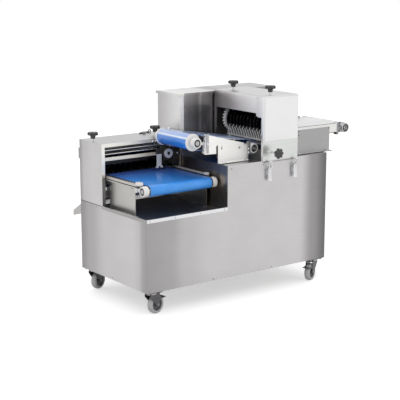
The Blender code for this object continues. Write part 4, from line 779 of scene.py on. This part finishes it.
class DICER_OT_conveyor_fastenings(bpy.types.Operator):
    """Adds the rails, brackets, bolts, slots and take-up screws of the conveyor frames."""
    bl_idname = "dicer.conveyor_fastenings"
    bl_label = "Conveyor fastenings"

    def execute(self, context):
        bolts, slots, screws, dark = Shell(), Shell(), Shell(), Shell()
        for y, z in ((417, 527), (402, 517), (416, 392), (401, 389), (196, 531)):
            dark.hexagon(at(41, y, z), -X, 8, 4)
            dark.hexagon(at(513, y, z), X, 8, 4)
        finish("lower_plate_bolts", dark, "dark_fork")
        face = 76.7  # y of the sloping belt's support plate
        bolts.dome(at(545.9, face, 718.2), -Y, 6.2, 2.8)
        # a slot and a hole in the support plate, drawn as thin black shapes on its face: painted shade
        slots.prism(rounded(5.8, 12, 2.8), at(545.9, face + 0.6, 706.1), X, Z, -Y * 0.9)
        slots.lathe([(4.4, -0.6), (4.4, 0.4), (6.4, 0.4), (6.4, -0.6)], at(668.4, face, 699.1),
                    -Y, 24)
        slots.lathe([(0, -0.6), (2.4, -0.6), (2.4, 0.4), (0, 0.4)], at(668.4, face, 699.1), -Y, 20)
        # bolts through the two supports' foot flanges
        for x, y in ((564, 65.5), (716.6, 65.5), (1070, 36.5), (1285, 36.5)):
            bolts.hexagon(at(x, y, 626.3), Z, 9, 4.5)
        for x, y, z, width, height in ((442.6, 64, 742, 11, 6), (460, 80, 742, 8, 4),
                                       (733, 74, 666, 10, 6), (733, 74, 686, 10, 6)):
            bolts.hexagon(at(x, y, z), -Y, width, height)
        rails = Shell().slabs((34.2, 152, 544, 39.2, 442, 557.2), (35.2, 152, 532, 39.2, 442, 538.5),
                              (499, 174, 555.8, 514.5, 450, 561.8))
        caps = Shell().slabs((33, 118, 551, 60, 153, 569), (496, 148, 551, 516, 174.5, 566.5))
        brackets = Shell().slabs((436, 64, 690, 449.2, 68.5, 796), (722, 74, 656, 744, 80.5, 730))
        finish("conveyor_rails", rails, "rail", bevel=0.6)
        finish("rail_caps", caps, "cup", slot="white_belt", bevel=2.5)
        # painted shade in the groove between the rail's two bars
        finish("rail_grooves", Shell().slabs((37.8, 152, 538.5, 39.2, 442, 544)), "black",
               slot=None)
        finish("roller_brackets", brackets, "zinc", bevel=0.8)
        finish("frame_bolts", bolts, "chrome")
        finish("frame_slots", slots, "black", slot=None)
        for node, inward in (("lower_take_up_left", Y), ("lower_take_up_right", Y),
                             ("infeed_take_up_front", -X), ("infeed_take_up_rear", -X)):
            axis = np.abs(inward)
            end = corners(node)[1 if inward @ axis > 0 else 0]
            tip = centre_of(node) * (1 - axis) + end * axis
            screws.rod(tip - inward * 4 * MM, tip + inward * 26 * MM, 3)
            screws.hexagon(tip + inward * 12 * MM, inward, 9, 5)
        finish("take_up_screws", screws, "zinc")
        return {"FINISHED"}


class DICER_OT_star_knobs(bpy.types.Operator):
    """Makes the five star knobs: a lobed head on a ribbed skirt, and a bright spindle.

    radius = profile radius * (1 + share * wave), wave = cos(lobes * angle) - its square / 4,
    and the share grows up the skirt
    """
    bl_idname = "dicer.star_knobs"
    bl_label = "Star knobs"

    def execute(self, context):
        lobes = context.scene.dicer_sizes.lobes
        # radius, height and share of the lobes' wave
        profile = ((0, 0, 0), (9.8, 0, 0), (11.8, 0.6, 0), (12.6, 2.4, 0.02), (13.6, 10, 0.07),
                   (14.8, 16, 0.09), (20, 18.2, 0.11), (25.2, 19.2, 0.125), (27, 21.4, 0.13),
                   (27.5, 28.5, 0.13), (26.6, 33, 0.13), (24, 36, 0.12), (16, 37.6, 0.06),
                   (6, 38, 0), (0, 38, 0))
        tall = profile[-1][1]
        steps = lobes * 14
        wave = np.cos(lobes * angles(steps))
        wave = wave - 0.25 * wave ** 2
        rows = [(radius * (1 + share * wave), height) for radius, height, share in profile]
        for node in ("feed_knob_left", "feed_knob_right", "knife_knob_rear", "knife_knob_front",
                     "lock_knob"):
            axis, up = (-Y, Z) if node == "lock_knob" else (Z, Y)
            base, top = sorted(float(corner @ axis) for corner in corners(node))
            centre = PIVOTS[f"{node}_turn"][0] * (1 - np.abs(axis))
            start, length = centre + axis * base, (top - base) / MM - tall
            star, stem, nut = Shell(), Shell(), Shell()
            star.grid(lofted(rows, steps, centre + axis * (top - tall * MM), axis, X, up))
            finish(f"{node}_star", star, "knob", f"{node}_body", "knob_plastic", angle=60,
                   stands_for=(node,))
            stem.lathe([(0, 0), (5.6, 0), (6, 0.6), (6, length), (0, length)], start, axis, 28)
            stem.lathe([(6.1, length - 2.2), (9.6, length - 2.2), (10, length - 1.6),
                        (10, length - 0.4), (6.1, length - 0.4)], start, axis, 32)
            finish(f"{node}_spindle", stem, "chrome", f"{node}_body")
            nut.hexagon(start + axis * MM, axis, 15, 6.5, sink=0.4)
            finish(f"{node}_nut", nut, "chrome")
        return {"FINISHED"}


class DICER_OT_castors(bpy.types.Operator):
    """Makes the castor wheels with crowned tyres and dresses the forks."""
    bl_idname = "dicer.castors"
    bl_label = "Castors"

    def execute(self, context):
        crown = context.scene.dicer_sizes.tread / MM
        half, reach = 16, 22.2  # half of the tyre's width, and the fork's outer face
        tyre = [(34, -half + 2), (36, -half), (44.5, -half + 0.2)]
        tread = [(50 - crown * abs(k) ** 3, k * (half - 1.5)) for k in np.linspace(-1, 1, 9)]
        tyre += tread + [(radius, -along) for radius, along in reversed(tyre)]
        hub = mirrored([(5.3, 15), (11, 15), (11.8, 14), (12.5, 8.5), (29, 7), (30.5, 12),
                        (32.5, 14.5), (34.5, 14)])
        for name in ("front_left", "front_right", "rear_left", "rear_right"):
            node, axis = f"castor_wheel_{name}", PIVOTS[f"wheel_spin_{name}"][1]
            centre = centre_of(node)
            finish(f"{node}_tyre", Shell().lathe(tyre, centre, axis, 64), "tyre",
                   f"wheel_{name}", "wheel_rubber", stands_for=(node,))
            finish(f"{node}_hub", Shell().lathe(hub, centre, axis, 56), "hub", f"wheel_{name}",
                   "wheel_rubber")
            softened(f"castor_fork_{name}", "dark_fork", 0.6)
            trim, plate = Shell(), Shell()
            for side in (-1, 1):
                trim.hexagon(centre + axis * side * reach * MM, axis * side, 12.5, 5.2)
            finish(f"castor_axle_{name}", trim, "zinc", f"castor_{name}")
            stem = PIVOTS[f"castor_swivel_{name}"][0] * (1, 1, 0) + ORIGIN * Z
            race = Shell().lathe([(12, 0), (29.6, 0), (31.2, -2), (31.6, -5), (30, -10),
                                  (28.5, -11.2), (12, -11.2)], stem - Z * 5.5 * MM, Z)
            finish(f"castor_race_{name}", race, "zinc", f"castor_{name}")
            for x in (-36, 36):  # bolt pattern of the castor's top plate
                for y in (-31, 31):
                    plate.hexagon(stem + MM * np.array((x, y, -5)), -Z, 12, 5.5)
            finish(f"castor_plate_bolts_{name}", plate, "zinc")
        return {"FINISHED"}


def gear_ring(teeth, pitch, phase, origin, depth, hole):
    """Spur gear that stands square to y: its rim rises and falls in smoothed steps.

    radius = pitch - 0.1 * module + 0.85 * module * tanh(2.2 * cos(teeth * (angle - phase)))
    """
    module, steps = 2 * pitch / teeth, teeth * 12
    rim = pitch - 0.1 * module + 0.85 * module * np.tanh(
        2.2 * np.cos(teeth * (angles(steps) - phase)))
    half = [(hole, 0), (pitch * 0.45, 0), (pitch * 0.47, 0.15), (pitch * 0.8, 0.15),
            (pitch * 0.82, 0), (rim - 0.6, 0), (rim, 0.04)]
    rows = half + [(radius, 1 - share) for radius, share in reversed(half)]
    return Shell().looped(lofted([(radius, depth * share) for radius, share in rows], steps,
                                 origin, Y, X, Z))


def shaft_profile(node, axis, middle):
    """A shaft's middle between two journals that run out to the node's ends."""
    start, end = [float((corner - ORIGIN) @ axis) / MM for corner in corners(node)]
    return [(0, start + SKIN), (JOURNAL, start + SKIN), (JOURNAL, middle[0][1]), *middle,
            (JOURNAL, middle[-1][1]), (JOURNAL, end - SKIN), (0, end - SKIN)]


class DICER_OT_knives(bpy.types.Operator):
    """Makes both stacks of disc knives, their hubs, the meshed gears and the grooved rollers."""
    bl_idname = "dicer.knives"
    bl_label = "Disc knives"

    def execute(self, context):
        rim = context.scene.dicer_sizes.blade / MM
        flat = rim - 9  # where the knife's flat ends and its ground edge starts
        # name, axis, knife places, shaft, hub, blade, edge, steps round the blade and the edge
        stacks = (
            ("strip", Y, 45 + 30 * np.arange(11),
             [(22.2, 14), (22.2, 374.5), (14.2, 374.5), (14.2, 424)],
             [(21.5, -6), (27, -6), (28.5, -4.5), (28.5, -0.3), (21.5, -0.3)],
             [(22, -0.2), (flat, -0.2), (flat + 0.2, 0.1), (flat + 0.2, 2.9), (flat, 3.2),
              (22, 3.2)],
             [(flat - 0.4, -0.2), (rim, 1.3), (rim, 1.7), (flat - 0.4, 3.2)], 72, 96),
            ("dice", X, 100 + 36 * np.arange(10), [(20.2, 17), (20.2, 507)], None,
             [(20, -0.2), (50, -0.2), (50, 3.2), (20, 3.2)],
             [(49.6, -0.2), (58.1, 1.3), (58.1, 1.7), (49.6, 3.2)], 60, 84))
        for name, axis, places, middle, hub, blade, edge, blade_steps, edge_steps in stacks:
            node, body, line = f"{name}_knife_shaft", f"{name}_knives", axle(f"{name}_knife_spin", axis)
            core, blades, edges = Shell(), Shell(), Shell()
            core.lathe(shaft_profile(node, axis, middle), line, axis)
            if hub:
                core.row(hub, places, line, axis, 40)
            blades.row(blade, places, line, axis, blade_steps)
            edges.row(edge, places, line, axis, edge_steps)
            finish(f"{name}_knife_core", core, "knife", body, "knife_steel", stands_for=(node,))
            finish(f"{name}_knife_blades", blades, "knife", body, "knife_steel")
            finish(f"{name}_knife_edges", edges, "edge", body, "knife_steel")
        # name, axis, the direction its angle is counted from, flutes, their rise, the drum
        for name, axis, one, flutes, rise, drum in (
                ("strip", Y, X, 36, 0.7, [(39, 14), (40, 15), (40, 369), (39, 370), (16, 370),
                                          (16, 420)]),
                ("dice", X, Y, 34, 0.6, [(36.8, 18), (37.4, 19), (37.4, 505), (36.8, 506)])):
            node, steps = f"{name}_bed_roller", flutes * 5
            flute = rise * np.cos(flutes * angles(steps))
            rows = [(radius + flute if radius > 35 else radius, along)
                    for radius, along in shaft_profile(node, axis, drum)]
            bed = Shell()
            bed.grid(lofted(rows, steps, axle(f"{name}_bed_spin", axis), axis, one, Z))
            finish(f"{name}_bed_fluted", bed, "shaft", f"{name}_bed", stands_for=(node,))
        knife_line, bed_line = axle("strip_knife_spin", Y), axle("strip_bed_spin", Y)
        drop = at(878, 0, 698) - at(865, 0, 815)  # from the knives' axis down to the bed's
        gap, heading = np.linalg.norm(drop) / MM, math.atan2(drop[2], drop[0])
        first, second = 25, 17  # teeth of the knives' gear and of the bed's gear
        plane = Y * 371.8 * MM  # where both gears start along y
        share = gap / (first + second)
        finish("strip_knife_gear", gear_ring(first, share * first, heading, knife_line + plane,
                                             16.4, 14.4), "nylon", "strip_knives")
        finish("strip_knife_sprocket", gear_ring(11, 38, 0, knife_line + Y * 560 * MM, 8, 9.6),
               "zinc", "strip_knives")
        finish("strip_bed_gear", gear_ring(second, share * second, heading + math.pi
                                           + math.pi / second, bed_line + plane, 16.4, 16.2),
               "nylon", "strip_bed")
        for node in ("strip_comb", "dice_comb"):
            softened(node, "knife", 0.5, "knife_steel")
        # x and z; each finger's foot runs back to the comb's bar, which carries it
        outline = np.array([(794, 728), (796.5, 750), (806, 778), (812, 789), (815, 789),
                            (809.2, 777), (800, 750), (798.5, 733.5), (823.5, 733.5),
                            (823.5, 728)])
        fingers = Shell()
        first_y, pitch, thick = 24.5, 15, 2.6
        for k in range(22):
            # two fingers stand between neighbouring knives, the second 0.5 mm nearer the next
            y = first_y + pitch * k + (0.5 if k % 2 else 0.0)
            fingers.prism(outline - outline[0], at(794, y, 728), X, Z, Y * thick)
        finish("strip_comb_fingers", fingers, "nylon", slot="knife_steel", bevel=FINE_EDGE)
        return {"FINISHED"}


class DICER_OT_latches(bpy.types.Operator):
    """Finishes the two draw latches and adds their rivets."""
    bl_idname = "dicer.latches"
    bl_label = "Draw latches"

    def execute(self, context):
        rivets, cradles = Shell(), Shell()
        for side, x in (("left", 811), ("right", 996)):
            softened(f"latch_base_{side}", "latch", 0.5)
            softened(f"latch_lever_{side}", "latch", 0.6)
            softened(f"latch_bail_{side}", "chrome", 0.6)
            cradles.slabs((x - 7.5, -14.2, 545, x + 7.5, -2.2, 570))
            for offset in (-7, 7):
                rivets.dome(at(x + offset, -2.3, 545), -Y, 2.8, 1.4)
        finish("latch_rivets", rivets, "chrome")
        finish("latch_cradles", cradles, "latch", bevel=1.0)
        return {"FINISHED"}


class DICER_OT_head_trim(bpy.types.Operator):
    """Lays the blank white sheet on the knife head's front and trims its mouth."""
    bl_idname = "dicer.head_trim"
    bl_label = "Knife head trim"

    def execute(self, context):
        sheet = Shell().prism(rounded(233, 236, 2), at(903, -2.8, 850), X, Z, -Y * 0.6)
        finish("blank_head_sheet", sheet, "film", slot=None, angle=50)
        finish("head_mouth_flange", Shell().slabs((768, 6, 866, 770.2, 57, 976)), "head",
               bevel=0.8)
        # painted shadow lines under the head, the supports' flanges and the plates
        seams = Shell().slabs(
            (771.5, -3.6, 614, 1021.5, -2.6, 615.6), (521.5, 55.2, 623.6, 742, 56.2, 627),
            (1027.5, 25.8, 623.6, 1317, 26.8, 626.2), (958, 49.7, 776.2, 1369, 50.6, 778.2),
            (511.2, 79, 657.5, 519.2, 80.3, 722))
        # three dark round spots, painted shade
        for x, z in ((1074.3, 733), (1074.3, 754.5), (1306, 755)):
            seams.lathe([(0, -1), (3.8, -1), (3.8, 0.4), (0, 0.4)], at(x, 47, z), -Y, 16)
        finish("head_and_frame_shadow_lines", seams, "seal", slot=None)
        return {"FINISHED"}


class DICER_OT_housing_trim(bpy.types.Operator):
    """Adds the housing's guide block, stay rods, stripper parts and the lever on its roof."""
    bl_idname = "dicer.housing_trim"
    bl_label = "Housing trim"

    def execute(self, context):
        finish("guide_block", Shell().slabs((2.3, 434.5, 478.5, 34, 462, 494.5)), "cup",
               slot="white_belt", bevel=1.2)
        stay, lever = Shell(), Shell()
        for z, radius in ((445, 8.5), (420, 6)):
            stay.rod(at(2.3, 448, z), at(35, 448, z), radius)
        finish("stay_rods", stay, "zinc")
        lever.rod(at(374, 623, 738.5), at(448, 640, 738.5), 3.4)
        # flattened ring at the lever's end
        ring = at(456, 642, 742.5) + 8.5 * MM * around(32, X, Z * 0.75)
        lever.grid(swept(np.concatenate([ring, ring[:1]]), 2.8 * around(12, (1, 0), (0, 1)), Y))
        finish("roof_lever", lever, "dark_fork")
        rubber, bright = Shell(), Shell()
        pale = Shell().slabs((360, 419, 579, 386, 431.2, 645), (352, 417, 569, 366, 429, 579),
                             (380, 417, 569, 394, 429, 579))
        # stripper blocks in the painted dark steel of the housing's shaded inside
        dark = Shell().slabs((354, 424, 644, 396, 431.2, 676), (398, 424, 608, 456, 431.2, 706),
                             (464, 420, 592, 512, 431.2, 696))
        cam = at(433, 424.5, 645)
        pale.lathe([(9.2, 0), (25.5, 0), (27, 1.4), (27, 10.4), (25.5, 12), (10.4, 12),
                    (9.2, 10.8)], cam, -Y, 56)
        rubber.lathe([(0, 0), (9.2, 0), (9.2, 8.8), (0, 8.8)], cam, -Y, 32)
        rubber.lathe([(9.6, 0), (15, 0), (16, 2.2), (15, 6), (9.6, 6), (8.8, 3)],
                     at(480, 420, 593), -Y, 40)
        bright.dome(at(498, 420, 640), -Y, 7.5, 2.6)
        bright.dome(at(498, 420, 678), -Y, 5, 2.4)
        for x in (336, 358):
            bright.hexagon(at(x, 428.5, 720), -Y, 11, 5)
        bright.slabs((388, 606, 735.2, 410, 620, 748))
        finish("stripper_post_and_cam", pale, "nylon", bevel=1.0)
        finish("stripper_blocks", dark, "inner", bevel=1.0)
        finish("stripper_bush", rubber, "black", slot=None)
        finish("stripper_bolts", bright, "chrome")
        return {"FINISHED"}


# Studio: name, place of each round lamp in metres, its width in metres and its power in watts
LAMPS = (("key", (-3.0, -2.6, 3.4), 2.2, 30.0), ("fill", (2.8, -3.4, 2.2), 2.6, 8.0),
         ("top", (0.3, 0.4, 4.2), 3.4, 10.0))
HALF_FLOOR = 14  # metres
WHITE_SEEN, WHITE_MIRRORED = 0.52, 0.28  # the paper's own light for the camera and for steel


def aimed(name, data, spot, direction):
    """Links a lamp or a camera at a spot, turned to look along a direction."""
    holder = bpy.data.objects.new(name, data)
    bpy.context.scene.collection.objects.link(holder)
    holder.location = spot
    holder.rotation_mode = "QUATERNION"
    holder.rotation_quaternion = direction.to_track_quat("-Z", "Y")
    return holder


class DICER_OT_studio(bpy.types.Operator):
    """Sets the pale floor, the soft lights, the even sky and the camera."""
    bl_idname = "dicer.studio"
    bl_label = "Studio"

    def execute(self, context):
        scene, tint = context.scene, context.scene.dicer_colours
        ground = bpy.data.meshes.new("studio_floor")
        ground.from_pydata([(x * HALF_FLOOR, y * HALF_FLOOR, 0)
                            for x, y in ((-1, -1), (1, -1), (1, 1), (-1, 1))], [], [(0, 1, 2, 3)])
        floor = bpy.data.objects.new("studio_floor", ground)
        scene.collection.objects.link(floor)
        paper, tree, shader, _ = begin("seamless_paper", {
            "Base Color": linear("#e6e6e6"), "Roughness": 0.9, "Specular IOR Level": 0.1,
            "Emission Color": tint.backdrop})
        # the camera sees the paper as white, and polished steel sees it just as white
        rays = add(tree, "LightPath")
        seen = add(tree, "Math", {0: (rays, "Is Glossy Ray"), 1: (rays, "Is Transmission Ray")},
                   operation="MAXIMUM")
        mirror = add(tree, "Math", {0: seen, 1: WHITE_MIRRORED}, operation="MULTIPLY")
        glow = add(tree, "Math", {0: (rays, "Is Camera Ray"), 1: WHITE_SEEN, 2: mirror},
                   operation="MULTIPLY_ADD")
        tree.links.new(glow.outputs["Value"], shader.inputs["Emission Strength"])
        ground.materials.append(paper)

        scene.world = bpy.data.worlds.new("studio_sky")
        scene.world.use_nodes = True
        tree = scene.world.node_tree
        tree.nodes.clear()
        rays = add(tree, "LightPath")
        seen = (rays, "Is Camera Ray")
        for kind in ("Is Glossy Ray", "Is Transmission Ray"):
            seen = add(tree, "Math", {0: seen, 1: (rays, kind)}, operation="MAXIMUM")
        even = add(tree, "Background", {"Strength": tint.light})
        white = add(tree, "Background", {"Color": tint.backdrop, "Strength": 1.0})
        mix = add(tree, "MixShader", {0: seen, 1: even, 2: white})
        add(tree, "OutputWorld", {"Surface": mix})

        for name, spot, size, power in LAMPS:
            lamp = bpy.data.lights.new(name, "AREA")
            lamp.shape, lamp.size, lamp.energy = "DISK", size, power
            aimed(name, lamp, spot, Vector((0.0, 0.0, 0.6)) - Vector(spot))

        lens = bpy.data.cameras.new("camera")
        lens.lens, lens.sensor_width = 101.08, 36.0
        lens.clip_start, lens.clip_end = 0.1, 60.0
        # turned to the right of straight back, and looking down
        turn, fall = math.radians(36.708), math.radians(12.140)
        view = Vector((math.sin(turn) * math.cos(fall), math.cos(turn) * math.cos(fall),
                       -math.sin(fall)))
        scene.camera = aimed("camera", lens, Vector(at(-3140.7, -4670.3, 1713.1)), view)
        scene.view_settings.view_transform = "Standard"
        return {"FINISHED"}


STEPS = (DICER_OT_sheet_metal, DICER_OT_cover_screws, DICER_OT_belts, DICER_OT_bearings,
         DICER_OT_conveyor_fastenings, DICER_OT_star_knobs, DICER_OT_castors, DICER_OT_knives,
         DICER_OT_latches, DICER_OT_head_trim, DICER_OT_housing_trim, DICER_OT_studio)


class DICER_PT_dressing(bpy.types.Panel):
    """Lists the dressing steps and their settings."""
    bl_idname = "DICER_PT_dressing"
    bl_label = "Meat dicer dressing"
    bl_space_type = "VIEW_3D"
    bl_region_type = "UI"
    bl_category = "Dicer"

    def draw(self, context):
        for group in (context.scene.dicer_sizes, context.scene.dicer_colours):
            for name in group.__annotations__:
                self.layout.prop(group, name)
        for step in STEPS:
            self.layout.operator(step.bl_idname)


CLASSES = (DicerSizes, DicerColours, *STEPS, DICER_PT_dressing)


def register():
    for item in CLASSES:
        bpy.utils.register_class(item)
    bpy.types.Scene.dicer_sizes = PointerProperty(type=DicerSizes)
    bpy.types.Scene.dicer_colours = PointerProperty(type=DicerColours)


def unregister():
    del bpy.types.Scene.dicer_colours
    del bpy.types.Scene.dicer_sizes
    for item in reversed(CLASSES):
        bpy.utils.unregister_class(item)


def main():
    """Registers the add-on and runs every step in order."""
    register()
    for step in STEPS:
        group, name = step.bl_idname.split(".")
        getattr(getattr(bpy.ops, group), name)()


if __name__ == "__main__":
    main()
